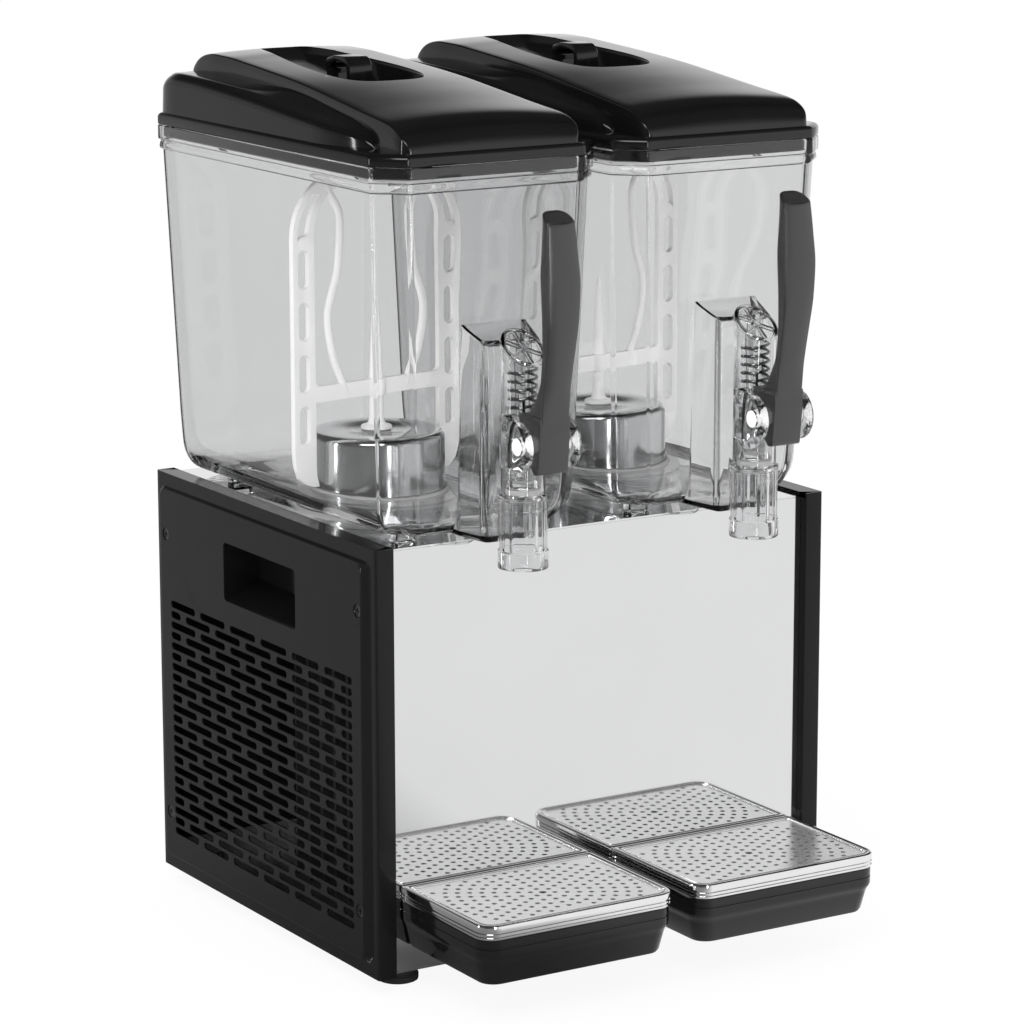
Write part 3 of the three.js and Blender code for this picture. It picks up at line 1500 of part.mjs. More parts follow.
function trayRing(sideInset, frontInset, rearInset, z) {
  const reachX = trayHalf - sideInset - trayCorner;
  const rows = [trayFront + frontInset + trayCorner, trayRear - rearInset - trayCorner];
  const centres = [[reachX, rows[1]], [-reachX, rows[1]], [-reachX, rows[0]], [reachX, rows[0]]];
  return centres.flatMap(([x, y], corner) => {
    const points = [];
    for (let i = 0; i <= cornerSteps; i += 1) {
      const angle = (corner + i / cornerSteps) * (Math.PI / 2);
      points.push(new THREE.Vector3(x + trayCorner * Math.cos(angle), y + trayCorner * Math.sin(angle), z));
    }
    return points;
  });
}

function dripBasin() {
  const outer = skinned([
    trayRing(trayTaper, trayTaper, trayWall, trayBottom),
    trayRing(trayTaper - trayWall, trayTaper - trayWall, trayWall / 2, trayBottom + trayWall),
    trayRing(2 * bezelRidge, 2 * bezelRidge, 0, collarBottom),
  ]);
  const collar = skinned([trayRing(bezelRidge, bezelRidge, 0, collarBottom),
    trayRing(bezelRidge, bezelRidge, 0, collarTop)]);
  const inner = skinned([
    trayRing(trayTaper + trayWall, trayTaper + trayWall, 2 * trayWall, trayBottom + trayWall),
    trayRing(trayWall + 2 * bezelRidge, trayWall + 2 * bezelRidge, trayWall, collarBottom),
    trayRing(trayWall + 2 * bezelRidge, trayWall + 2 * bezelRidge, trayWall, collarTop + overrun),
  ]);
  const hookTop = collarTop - hookThickness;
  const hooks = [-hookOffset, hookOffset].map((x) => block([x - hookWidth / 2, x + hookWidth / 2],
    [trayRear - trayWall, trayRear + hookLength], [hookTop - hookThickness, hookTop]));
  return joined([outer, collar, ...hooks]).subtract(inner);
}

function gridBezel() {
  const low = collarTop + seatGap;
  const band = bezelHeight / (2 * bezelRidges - 1);
  const levels = [];
  for (let i = 0; i < 2 * bezelRidges; i += 1) {
    levels.push(trayRing(0, 0, 0, low + i * band));
    if (i % 2 && i < 2 * bezelRidges - 1) {
      levels.push(trayRing(bezelRidge, bezelRidge, 0, low + (i + 0.5) * band));
    }
  }
  const throat = traySlab(bezelLedge, low - overrun, low + bezelHeight + overrun);
  const recess = traySlab(bezelLedge / 2, low + bezelHeight - gridDrop, low + bezelHeight + overrun);
  return without(skinned(levels), [throat, recess]);
}

const gridLow = collarTop + seatGap + bezelHeight - gridDrop + seatGap;

function traySlab(inset, low, high) {
  return skinned([trayRing(inset, inset, inset, low), trayRing(inset, inset, inset, high)]);
}

function dripGrid() {
  const edge = bezelLedge / 2 + seatGap;
  const pan = traySlab(edge + gridLip, gridLow + gridThickness, gridLow + gridDrop + overrun);
  return traySlab(edge, gridLow, gridLow + gridDrop).subtract(pan);
}

function buildStation(sideName, side) {
  const station = new THREE.Group();
  station.position.x = side * stationX;
  machine.add(station);
  place(station, `${sideName}_evaporator`, dome(), polishedSteel, 0, domeY, 0);
  place(station, `${sideName}_stir_motor`, stirMotor(), castBlack, 0, domeY, 0);
  place(station, `${sideName}_drive_rotor`, driveRotor(), plainSteel, 0, domeY, 0);
  place(station, `${sideName}_tank_gasket`, gasket(), greyRubber, 0, domeY, 0);
  place(station, `${sideName}_tank`, tank(), clearPlastic);
  const stirrer = place(station, `${sideName}_paddle`, paddle(), whitePlastic, 0, domeY, 0);
  stirrer.rotation.z = THREE.MathUtils.degToRad(paddleTurn);
  place(station, `${sideName}_lid`, lid(), glossBlack);
  place(station, `${sideName}_tap_barrel`, tapBarrel(), clearPlastic);
  place(station, `${sideName}_lever`, lever(), darkGrip, 0, pivotY, pivotZ);
  place(station, `${sideName}_lever_pin`, pivotPin(), whitePlastic, 0, pivotY, pivotZ);
  place(station, `${sideName}_plunger`, plunger(), whitePlastic, 0, tapY, 0);
  place(station, `${sideName}_plunger_seal`, plungerSeal(), greyRubber, 0, tapY, 0);
  place(station, `${sideName}_valve_spring`, valveSpring(), polishedSteel, 0, tapY, 0);
}

function buildTray(sideName, side) {
  const tray = new THREE.Group();
  tray.position.x = side * trayX;
  machine.add(tray);
  place(tray, `${sideName}_drip_basin`, dripBasin(), glossBlack);
  place(tray, `${sideName}_grid_bezel`, gridBezel(), polishedSteel);
  place(tray, `${sideName}_drip_grid`, dripGrid(), polishedSteel);
}

buildCabinet();
buildControls();
buildCoolingUnit();
[['left', -1], ['right', 1]].forEach(([sideName, side]) => {
  buildStation(sideName, side);
  buildTray(sideName, side);
});

console.log(`least gap between spring curls: ${leastCurlGap().toFixed(2)} mm`);

export default machine;
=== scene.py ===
# Twin-tank chilled juice dispenser: the visible pieces and their finishes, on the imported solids.
# Lengths are millimetres from the middle of the cabinet, at ground level, until a mesh is made.

import math

import bmesh
import bpy
from mathutils import Matrix, Vector


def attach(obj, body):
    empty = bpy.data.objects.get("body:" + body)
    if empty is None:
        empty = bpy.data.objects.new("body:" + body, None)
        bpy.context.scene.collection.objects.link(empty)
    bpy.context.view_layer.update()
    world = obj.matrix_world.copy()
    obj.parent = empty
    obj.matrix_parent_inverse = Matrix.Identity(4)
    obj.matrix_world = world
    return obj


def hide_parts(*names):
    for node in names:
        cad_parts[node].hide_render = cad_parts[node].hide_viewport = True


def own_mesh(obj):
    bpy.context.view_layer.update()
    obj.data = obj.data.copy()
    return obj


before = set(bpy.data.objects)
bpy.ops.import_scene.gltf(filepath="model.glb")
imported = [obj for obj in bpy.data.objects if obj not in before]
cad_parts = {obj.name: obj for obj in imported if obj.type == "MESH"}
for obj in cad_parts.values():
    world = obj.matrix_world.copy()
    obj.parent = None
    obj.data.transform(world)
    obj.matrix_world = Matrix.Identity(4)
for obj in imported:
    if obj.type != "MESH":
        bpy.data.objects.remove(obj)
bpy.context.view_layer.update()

MM = 0.001
SHIFT = 54.25
STATION_X = 110
TRAY_X = 100
SIDES = (("left", -1), ("right", 1))
STIR_Y = -10
TAP_Y = -239
PIVOT = (-267.5, 452.7)


def at(point):
    x, y, z = point
    return Vector((x, y + SHIFT, z)) * MM


# Outlines and tables of shapes

def rounded(corners, steps=4, closed=True):
    """An outline with its corners rounded. Each corner is x, y and its radius."""
    line = []
    last = len(corners) - 1
    for i, (x, y, radius) in enumerate(corners):
        if radius == 0 or (not closed and i in (0, last)):
            line.append((x, y))
            continue
        here = Vector((x, y))
        back = (Vector(corners[i - 1][:2]) - here).normalized()
        ahead = (Vector(corners[(i + 1) % len(corners)][:2]) - here).normalized()
        half = back.angle(ahead) / 2
        centre = here + (back + ahead).normalized() * (radius / math.sin(half))
        reach = radius / math.tan(half)
        start = here + back * reach - centre
        end = here + ahead * reach - centre
        first = math.atan2(start.y, start.x)
        sweep = math.atan2(start.x * end.y - start.y * end.x, start.dot(end))
        for step in range(steps + 1):
            angle = first + sweep * step / steps
            line.append((centre.x + radius * math.cos(angle), centre.y + radius * math.sin(angle)))
    return line


def rectangle(low, high, radius, steps=6):
    (x0, y0), (x1, y1) = low, high
    return rounded([(x0, y0, radius), (x1, y0, radius), (x1, y1, radius), (x0, y1, radius)], steps)


def circle(radius, steps, x=0, y=0):
    angles = [2 * math.pi * i / steps for i in range(steps)]
    return [(x + radius * math.cos(a), y + radius * math.sin(a)) for a in angles]


def stadium(start, end, low, high, steps=6):
    radius = (high - low) / 2
    return rounded([(start, low, radius), (end, low, radius), (end, high, radius * 0.999),
                    (start, high, radius * 0.999)], steps)


def chamfered(half_x, half_y, chamfer, radius, steps=3):
    x, y, c = half_x, half_y, chamfer
    right = [(x - c, -y), (x, -y + c), (x, y - c), (x - c, y)]
    return rounded([(u, v, radius) for u, v in right + facing(right)], steps)


def facing(line):
    """The mirror image of a line, drawn back from its end."""
    return [(-u, v) for u, v in line[::-1]]


def beside(line, distance):
    """A line moved to the right of its own direction."""
    out = []
    for i, (x, y) in enumerate(line):
        (x0, y0), (x1, y1) = line[max(i - 1, 0)], line[min(i + 1, len(line) - 1)]
        length = math.hypot(x1 - x0, y1 - y0)
        out.append((x + distance * (y1 - y0) / length, y - distance * (x1 - x0) / length))
    return out


def eased(rows, place):
    """Values between the rows of a table, without overshoot. Each row is a place and its values."""
    rows = sorted(rows)
    if place <= rows[0][0]:
        return rows[0][1:]
    if place >= rows[-1][0]:
        return rows[-1][1:]
    k = max(i for i in range(len(rows) - 1) if rows[i][0] <= place)
    span = rows[k + 1][0] - rows[k][0]
    t = (place - rows[k][0]) / span
    out = []
    for c in range(1, len(rows[0])):
        def slope(i):
            if i < 0 or i > len(rows) - 2:
                return None
            return (rows[i + 1][c] - rows[i][c]) / (rows[i + 1][0] - rows[i][0])
        before, here, after = slope(k - 1), slope(k), slope(k + 1)

        def tangent(a, b):
            if a is None or b is None:
                return here
            return 0 if a * b <= 0 else 2 * a * b / (a + b)
        m0, m1 = tangent(before, here) * span, tangent(here, after) * span
        p0, p1 = rows[k][c], rows[k + 1][c]
        out.append((2 * t**3 - 3 * t**2 + 1) * p0 + (t**3 - 2 * t**2 + t) * m0
                   + (3 * t**2 - 2 * t**3) * p1 + (t**3 - t**2) * m1)
    return tuple(out)


# Meshes

def cleaned(mesh):
    """The mesh with doubled corners merged and its faces turned outward."""
    work = bmesh.new()
    work.from_mesh(mesh)
    bmesh.ops.remove_doubles(work, verts=work.verts, dist=1e-7)
    bmesh.ops.recalc_face_normals(work, faces=work.faces)
    work.to_mesh(mesh)
    work.free()
    return mesh


def mesh_of(points, faces):
    mesh = bpy.data.meshes.new("shape")
    mesh.from_pydata([at(p) for p in points], [], faces)
    return cleaned(mesh)


def skinned(rings, ends=True, endless=False):
    count = len(rings[0])
    levels = len(rings)
    points = [p for ring in rings for p in ring]
    faces = []
    for level in range(levels if endless else levels - 1):
        low, high = level * count, (level + 1) % levels * count
        faces += [(low + i, low + (i + 1) % count, high + (i + 1) % count, high + i) for i in range(count)]
    if ends and not endless:
        faces.append(tuple(range(count)))
        faces.append(tuple(range(len(points) - count, len(points))))
    return mesh_of(points, faces)


def turned(profile, steps=64, x=0, y=0, closed=False):
    """A turned body about an upright axis. The profile is radius and height, from one end to the other."""
    rings = [[(u, v, z) for u, v in circle(max(r, 0.02), steps, x, y)] for r, z in profile]
    return skinned(rings, not closed, closed)


def upright(outline, low, high):
    return skinned([[(u, v, low) for u, v in outline], [(u, v, high) for u, v in outline]])


def along_x(outline, low, high):
    return skinned([[(low, u, v) for u, v in outline], [(high, u, v) for u, v in outline]])


def box(low, high):
    (x0, y0, z0), (x1, y1, z1) = low, high
    return upright([(x0, y0), (x1, y0), (x1, y1), (x0, y1)], z0, z1)


def stand_in(mesh):
    thing = bpy.data.objects.new("work", mesh)
    bpy.context.scene.collection.objects.link(thing)
    return thing


def settled(thing):
    """The mesh of an object with its modifiers applied. The object goes."""
    graph = bpy.context.evaluated_depsgraph_get()
    mesh = bpy.data.meshes.new_from_object(thing.evaluated_get(graph))
    bpy.data.objects.remove(thing)
    return mesh


def combined(first, second, operation):
    base, tool = stand_in(first), stand_in(second)
    boolean = base.modifiers.new("join", "BOOLEAN")
    boolean.operation = operation
    boolean.solver = "MANIFOLD"
    boolean.object = tool
    mesh = settled(base)
    bpy.data.objects.remove(tool)
    return mesh


def joined(*meshes):
    whole = meshes[0]
    for mesh in meshes[1:]:
        whole = combined(whole, mesh, "UNION")
    return whole


def without(body, *cuts):
    for cut in cuts:
        body = combined(body, cut, "DIFFERENCE")
    return body


def gathered(*meshes):
    work = bmesh.new()
    for mesh in meshes:
        work.from_mesh(mesh)
    whole = bpy.data.meshes.new("shape")
    work.to_mesh(whole)
    work.free()
    return whole


def softened(mesh, width, segments=2, angle=40):
    thing = stand_in(mesh)
    bevel = thing.modifiers.new("edges", "BEVEL")
    bevel.width = width * MM
    bevel.segments = segments
    bevel.limit_method = "ANGLE"
    bevel.angle_limit = math.radians(angle)
    bevel.harden_normals = False
    return settled(thing)


def turned_about(mesh, axis, degrees, centre=(0, 0, 0), goal=None):
    """The mesh turned about an axis through a point, which may then move to a goal."""
    mesh = mesh.copy()
    mesh.transform(Matrix.Translation(at(goal or centre)) @ Matrix.Rotation(math.radians(degrees), 4, axis)
                   @ Matrix.Translation(-at(centre)))
    return mesh


def drawn(loops, thickness, edge, matrix):
    """A flat moulding from a drawn outline and its openings, with rounded edges, laid in place by a matrix."""
    curve = bpy.data.curves.new("sheet", "CURVE")
    curve.dimensions = "2D"
    curve.fill_mode = "BOTH"
    curve.extrude = thickness / 2 * MM
    for loop in loops:
        spline = curve.splines.new("POLY")
        spline.points.add(len(loop) - 1)
        spline.points.foreach_set("co", [c for u, v in loop for c in (u * MM, v * MM, 0, 1)])
        spline.use_cyclic_u = True
    thing = bpy.data.objects.new("sheet", curve)
    bpy.context.scene.collection.objects.link(thing)
    mesh = softened(cleaned(settled(thing)), edge, 3, 50)
    mesh.transform(matrix)
    return mesh


def punched(plate, holes, low, high, lay):
    """A plate with many separate holes, each an outline cut through from low to high by a prism maker."""
    return without(plate, gathered(*[lay(hole, low, high) for hole in holes]))


def wire(points, radius, steps=8):
    """A round wire along a line of points."""
    line = [Vector(p) for p in points]
    rings = []
    for i, here in enumerate(line):
        heading = (line[min(i + 1, len(line) - 1)] - line[max(i - 1, 0)]).normalized()
        side = heading.cross(Vector((0, 0, 1))).normalized()
        up = side.cross(heading)
        rings.append([tuple(here + side * u + up * v) for u, v in circle(radius, steps)])
    return skinned(rings)


def moved(mesh, x=0, y=0, z=0):
    mesh = mesh.copy()
    mesh.transform(Matrix.Translation(Vector((x, y, z)) * MM))
    return mesh


def mirrored(mesh):
    mesh = mesh.copy()
    mesh.transform(Matrix.Diagonal((-1, 1, 1, 1)))
    mesh.flip_normals()
    return mesh


# Finishes

class Wire:
    """The output of a node in a finish. Sums on it add Math nodes."""

    def __init__(self, finish, socket):
        self.finish = finish
        self.socket = socket

    def worked(self, operation, first, second):
        return self.finish.node("Math", {"operation": operation}, {0: first, 1: second})

    def __add__(self, other):
        return self.worked("ADD", self, other)

    def __mul__(self, other):
        return self.worked("MULTIPLY", self, other)

    __radd__ = __add__
    __rmul__ = __mul__


class Nodes:
    """A tree of shader nodes, of a material or of the world."""

    def __init__(self, tree):
        self.tree = tree
        self.tree.nodes.clear()

    def node(self, kind, settings=None, inputs=None, output=0):
        made = self.tree.nodes.new("ShaderNode" + kind)
        for name, value in (settings or {}).items():
            if name == "ramp":
                fill_ramp(made.color_ramp, value)
            else:
                setattr(made, name, value)
        for name, value in (inputs or {}).items():
            if isinstance(value, Wire):
                self.tree.links.new(value.socket, made.inputs[name])
            else:
                made.inputs[name].default_value = value
        return Wire(self, made.outputs[output]) if made.outputs else None

    def ray(self, kind):
        return self.node("LightPath", None, None, f"Is {kind} Ray")

    def larger(self, first, second):
        return self.node("Math", {"operation": "MAXIMUM"}, {0: first, 1: second})

    def part(self, vector, axis):
        return self.node("SeparateXYZ", None, {"Vector": vector}, axis)

    def around(self, way):
        """The studio's brightness in the compass direction of a vector."""
        turn = self.node("Math", {"operation": "ARCTAN2"}, {0: self.part(way, "Y"), 1: self.part(way, "X")})
        return self.node("ValToRGB", {"ramp": AROUND}, {"Fac": turn * (0.5 / math.pi) + 0.5})


class Finish(Nodes):
    """A material and the nodes that make it."""

    def __init__(self, name):
        self.material = bpy.data.materials.new(name)
        self.material.use_nodes = True
        super().__init__(self.material.node_tree)

    def surface(self, shader):
        self.node("OutputMaterial", None, {"Surface": shader})
        return self

    def places(self):
        return self.node("TexCoord", None, None, "Object")

    def stretched(self, x, y, z):
        return self.node("Mapping", None, {"Vector": self.places(), "Scale": (x, y, z)})

    def noise(self, scale, detail=2.0, vector=None):
        vector = vector or self.places()
        return self.node("TexNoise", None, {"Vector": vector, "Scale": scale, "Detail": detail}, "Fac")

    def bump(self, height, distance, strength=1.0):
        return self.node("Bump", None, {"Height": height, "Distance": distance, "Strength": strength})

    def spread(self, value, low, high):
        """A value between nought and one laid over another range."""
        return value * (high - low) + low

    def blend(self, share, first, second):
        return self.node("Mix", {"data_type": "RGBA"}, {0: share, 6: first, 7: second}, 2)

    def coat(self, colour, rough, relief=None, **constants):
        """A surface. Colour and roughness each give a value and the two ends that it runs between."""
        inputs = {"Base Color": self.blend(*colour), "Roughness": self.spread(*rough)}
        if relief:
            inputs["Normal"] = self.bump(*relief)
        for name, value in constants.items():
            inputs[name.replace("_", " ")] = value
        return self.surface(self.node("BsdfPrincipled", None, inputs))


def fill_ramp(ramp, stops):
    ramp.elements.remove(ramp.elements[1])
    ramp.elements[0].color = grey(stops[0][1])
    for place, value in stops[1:]:
        ramp.elements.new(place).color = grey(value)


def grey(value):
    return (value, value, value, 1)


def gloss_paint():
    """Black gloss enamel on folded sheet, with a faint ripple."""
    f = Finish("black_enamel")
    return f.coat((f.noise(60, 3), grey(0.0055), grey(0.008)), (f.noise(24, 3), 0.1, 0.17),
                  (f.noise(260, 1), 0.00002, 0.5), Specular_IOR_Level=0.2)


def moulded_black():
    """Polished black plastic of the lids and basins."""
    f = Finish("polished_black_plastic")
    return f.coat((f.noise(15, 2), grey(0.0035), grey(0.006)), (f.noise(36, 4), 0.08, 0.14),
                  (f.noise(22, 1), 0.00016, 0.5))


def mirror_sheet():
    """Polished stainless sheet with a faint upright grain."""
    f = Finish("polished_sheet")
    grain = f.noise(1, 3, f.stretched(900, 900, 9))
    return f.coat((f.noise(7, 2), (0.77, 0.773, 0.776, 1), (0.81, 0.812, 0.815, 1)), (grain, 0.02, 0.05),
                  (grain, 0.000004, 0.3), Metallic=1.0)


def spun_steel():
    """Drawn and polished stainless of the chilled domes, with turning marks."""
    f = Finish("spun_steel")
    ring = f.noise(1, 2, f.stretched(30, 30, 1500))
    return f.coat((f.noise(30, 2), (0.6, 0.605, 0.61, 1), (0.74, 0.745, 0.75, 1)), (ring, 0.08, 0.16),
                  (ring, 0.00002, 0.35), Metallic=1.0)


def punched_steel():
    """Punched stainless of the drip grids."""
    f = Finish("punched_steel")
    grain = f.noise(1, 2, f.stretched(30, 1200, 1200))
    return f.coat((f.noise(40, 3), grey(0.9), grey(0.98)), (grain, 0.2, 0.3), (grain, 0.00001, 0.4), Metallic=0.8)


def bare_metal(name, grain, low, high, rough_grain, smooth, rough):
    f = Finish(name)
    return f.coat((f.noise(*grain), grey(low), grey(high)), (f.noise(*rough_grain), smooth, rough), Metallic=1.0)


def soft_touch():
    """Dark grey handle plastic with a fine satin grain."""
    f = Finish("soft_touch_grey")
    return f.coat((f.noise(30, 3), grey(0.012), grey(0.016)), (f.noise(80, 2), 0.2, 0.26),
                  (f.noise(1500, 2), 0.000008, 0.3), Specular_IOR_Level=0.9)


def white_moulding():
    f = Finish("white_moulding")
    return f.coat((f.noise(18, 2), (0.88, 0.88, 0.875, 1), (0.92, 0.92, 0.915, 1)), (f.noise(50, 2), 0.28, 0.4))


def rubber(name, low, high):
    f = Finish(name)
    return f.coat((f.noise(60, 3), grey(low), grey(high)), (f.noise(120, 2), 0.55, 0.75),
                  (f.noise(900, 2), 0.00003, 0.4))


def cast_black():
    f = Finish("black_shell_paint")
    return f.coat((f.noise(40, 3), grey(0.008), grey(0.016)), (f.noise(60, 3), 0.3, 0.5),
                  (f.noise(500, 2), 0.00004, 0.5))


# Aluminium of the condenser fins and fan blade, its colour darkened almost to black as painted shade, so the
# cabinet's inside reads dark through the grille slots.
def aluminium_darkened_as_painted_shade():
    f = Finish("aluminium_darkened_as_painted_shade")
    lines = f.noise(1, 2, f.stretched(40, 900, 40))
    return f.coat((lines, grey(0.05), grey(0.1)), (lines, 0.3, 0.45), Metallic=0.6)


def clear_moulding(name, tint):
    """Clear plastic. Lamps pass straight through it, and the eye sees it bend and reflect."""
    f = Finish(name)
    glass = f.node("BsdfPrincipled", None, {"Base Color": (tint, tint * 1.003, tint * 1.006, 1), "Roughness": 0.0,
                                            "IOR": 1.45, "Transmission Weight": 1.0})
    clear = f.node("BsdfTransparent", None, {"Color": (0.96, 0.96, 0.96, 1)})
    through = f.larger(f.ray("Shadow"), f.ray("Diffuse"))
    return f.surface(f.node("MixShader", None, {0: through, 1: glass, 2: clear}))


ENAMEL = gloss_paint()
BLACK = moulded_black()
MIRROR = mirror_sheet()
SPUN = spun_steel()
PUNCHED = punched_steel()
PLATING = bare_metal("bright_plating", (50, 2), 0.86, 0.93, (90, 2), 0.05, 0.11)
STEEL = bare_metal("mill_steel", (25, 4), 0.42, 0.55, (70, 3), 0.28, 0.42)
SPRING = bare_metal("spring_wire", (300, 2), 0.12, 0.25, (200, 2), 0.18, 0.3)
GRIP = soft_touch()
WHITE = white_moulding()
SOFT = rubber("black_rubber", 0.012, 0.02)
GREY = rubber("grey_rubber", 0.3, 0.38)
CAST = cast_black()
# Condenser aluminium with painted shade: darkened to stand in for the shadow inside the cabinet.
SHADE_DARKENED_FIN = aluminium_darkened_as_painted_shade()
CLEAR = clear_moulding("clear_tank_plastic", 0.84)
CRYSTAL = clear_moulding("clear_tap_plastic", 0.92)


def piece(name, mesh, finish, body, nodes=(), crisp=32):
    mesh.materials.clear()
    mesh.materials.append(finish.material)
    mesh.shade_smooth()
    mesh.set_sharp_from_angle(angle=math.radians(crisp))
    thing = bpy.data.objects.new(name, mesh)
    bpy.context.scene.collection.objects.link(thing)
    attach(thing, body)
    if nodes:
        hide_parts(*nodes)
    return thing


def per_station(label, mesh, finish, body, node, x=STATION_X, crisp=32):
    """The same piece on the left and on the right. Names take the side in front."""
    made = []
    for side, sign in SIDES:
        home = body if body == "cabinet" else f"{side}_{body}"
        made.append(piece(f"{side}_{label}", moved(mesh, sign * x), finish, home, (f"{side}_{node}",), crisp))
    return made


# Side panels: a folded skin round a raised field with hand hole and grille

# The raised field's front, rear, low and high edges.
FIELD = (-182.4, 182, 24, 355)
FIELD_SLOPE = 12.6
FIELD_CORNER = 8
SKIN_X = 215
FIELD_X = 218
FOLD_X = 198.5
PANEL_LOW = 14
PANEL_HIGH = 366
SHEET = 1.5
SLOT = 45
SLOT_PITCH = 54.4


def field_ring(front, other, level_x, groove_x):
    y0, y1, z0, z1 = FIELD
    line = rectangle((y0 + front, z0 + other), (y1 - other, z1 - other), FIELD_CORNER)
    ring = []
    for y, z in line:
        depth = max(0.0, 1 - (y - y0 - front) / 4)
        share = depth * depth * (3 - 2 * depth)
        ring.append((level_x + (groove_x - level_x) * share, y, z))
    return ring


def grille_slots():
    """Staggered rows of slots. Every other row starts and ends with a short one."""
    slots = []
    front, rear, short = -155.4, 161.6, 17.8
    for row in range(23):
        low = 48.2 + 9.2 * row
        if row % 2:
            places = [(front + SLOT_PITCH * (i + 0.5), SLOT) for i in range(5)]
            places += [(front, short), (rear - short, short)]
        else:
            places = [(front + SLOT_PITCH * i, SLOT) for i in range(6)]
        slots += [stadium(start, start + length, low, low + 6.3) for start, length in places]
    return slots


def folded_edge(corners, thickness):
    """A strip of sheet folded round corners, drawn as a closed outline. It lies to the right of its path."""
    outer = rounded(corners, 4, False)
    return outer + beside(outer, thickness)[::-1]


SCREWS = ((169.5, 313.3), (-164.6, 313.3), (170.6, 65.6), (-164.3, 66.2))


def side_panel():
    y0, y1, z0, z1 = FIELD
    field = rectangle((y0 + FIELD_SLOPE, z0 + 3), (y1 - 3, z1 - 3), FIELD_CORNER)
    hand = rectangle((-62.8, 276.4), (62.2, 326.4), 4, 4)
    sinks = [circle(5.6, 20, y, z) for y, z in SCREWS]
    plate = punched(along_x(field, FIELD_X - SHEET, FIELD_X), grille_slots() + [hand] + sinks, 214, 221, along_x)
    plate = softened(plate, 0.25, 1, 50)
    skin = along_x(rectangle((-184, PANEL_LOW), (184, PANEL_HIGH), 0.3, 1), SKIN_X - SHEET, SKIN_X)
    skin = without(skin, along_x(rectangle((y0, z0), (y1, z1), FIELD_CORNER), 210, 220))
    steps = [(0, 0, SKIN_X, SKIN_X), (0.9, 0.3, 215.1, 214), (2.2, 0.7, 215.6, 212.9), (4.2, 1.2, 216.6, 212.8),
             (6.8, 1.7, 217.5, 214.2), (9.4, 2.3, 217.9, 216.3), (11.6, 2.8, FIELD_X, 217.7),
             (FIELD_SLOPE, 3, FIELD_X, FIELD_X)]
    step = skinned([field_ring(*row) for row in steps], ends=False)
    front = [(SKIN_X, -184, 0), (SKIN_X, -190, 1.8), (FOLD_X, -190, 0.5), (FOLD_X, -180.5, 0)]
    rear = [(FOLD_X, 180.5, 0), (FOLD_X, 190, 0.5), (SKIN_X, 190, 1.8), (SKIN_X, 184, 0)]
    end = [(FOLD_X, -188.5), (213.6, -188.5), (213.6, 188.5), (FOLD_X, 188.5)]
    sides = [upright(folded_edge(path, SHEET), PANEL_LOW, PANEL_HIGH) for path in (front, rear)]
    return gathered(plate, skin, step, *sides, upright(end, 364.6, PANEL_HIGH), upright(end, PANEL_LOW, 15.4),
                    box((FOLD_X, -188.4, 361.5), (200, 188.4, 364.7)))


def panel_screws():
    """Dished black screws, sunk in the raised field."""
    cross = joined(box((-2.6, -0.5, -0.5), (2.6, 0.5, 3)), box((-0.5, -2.6, -0.5), (0.5, 2.6, 3)))
    head = turned([(0, -1.2), (5.3, -1.2), (5.4, 0.2), (5.0, 0.7), (4.3, 0.4), (2, 0.25), (0, 0.2)], 28)
    head = without(head, cross)
    return gathered(*[turned_about(head, "Y", 90, goal=(FIELD_X - 1.3, y, z)) for y, z in SCREWS])


def build_side_panels():
    panel, screws = side_panel(), panel_screws()
    for side, sign in SIDES:
        shape = panel if sign > 0 else mirrored(panel)
        heads = screws if sign > 0 else mirrored(screws)
        piece(f"{side}_folded_panel", shape.copy(), ENAMEL, "cabinet", (f"{side}_side_panel",), 38)
        piece(f"{side}_panel_screws", heads.copy(), BLACK, "cabinet")


def build_feet():
    foot = turned([(0, 0), (15.2, 0), (16.6, 0.6), (17, 2), (17, 5.5), (16.2, 6.2), (16.2, 7), (15.6, 7.6),
                   (15, 13.2), (14.4, 13.7), (3.7, 13.7), (3.7, 25.5), (0, 25.5)])
    for end, y in (("front", -155), ("rear", 155)):
        for side, sign in SIDES:
            spot = f"foot_{end}_{side}"
            piece(f"rubber_{spot}", moved(foot, sign * 178, y), SOFT, "cabinet", (spot,))


# Chilled dome, gasket, stirring paddle

def build_domes():
    top, low = 423.8, 363.8
    bend = [(49 + 6 * math.cos(math.radians(d)), top - 6 + 6 * math.sin(math.radians(d))) for d in range(10, 91, 10)]
    outside = [(55, low), (55, top - 6)] + bend
    dome = turned(outside + [(26, top), (24.5, top - 0.5), (0, top - 0.5), (0, top - 1.5), (47, top - 1.5),
                             (53.5, top - 8), (53.5, low)], 96, 0, STIR_Y, True)
    per_station("chilled_dome", dome, SPUN, "cabinet", "evaporator")
    ring = turned([(55.3, 364), (68, 364), (68.2, 366.5), (67, 369), (58.9, 369.1), (58.7, 374), (57.8, 375.6),
                   (56.4, 375.8), (55.3, 374.6)], 96, 0, STIR_Y, True)
    per_station("floor_gasket", ring, GREY, "cabinet", "tank_gasket")


def arch_run(reach, top, bend, last=90, steps=10):
    """The right half of an arch, from its side up to an angle."""
    return [(reach - bend + bend * math.cos(a), top - bend + bend * math.sin(a))
            for a in (math.radians(last) * i / steps for i in range(steps + 1))]


def lyre_rod(side):
    """The outline of one of the two bent rods inside the arch."""
    places = [(457, 30), (463, 32), (489, 43), (521, 48), (564, 37), (602, 34.5), (630, 49)]
    levels = [457 + 4.375 * i for i in range(41)]
    line = [(side * eased(places, z)[0], z) for z in levels]
    return beside(line, -3) + beside(line, 3)[::-1]


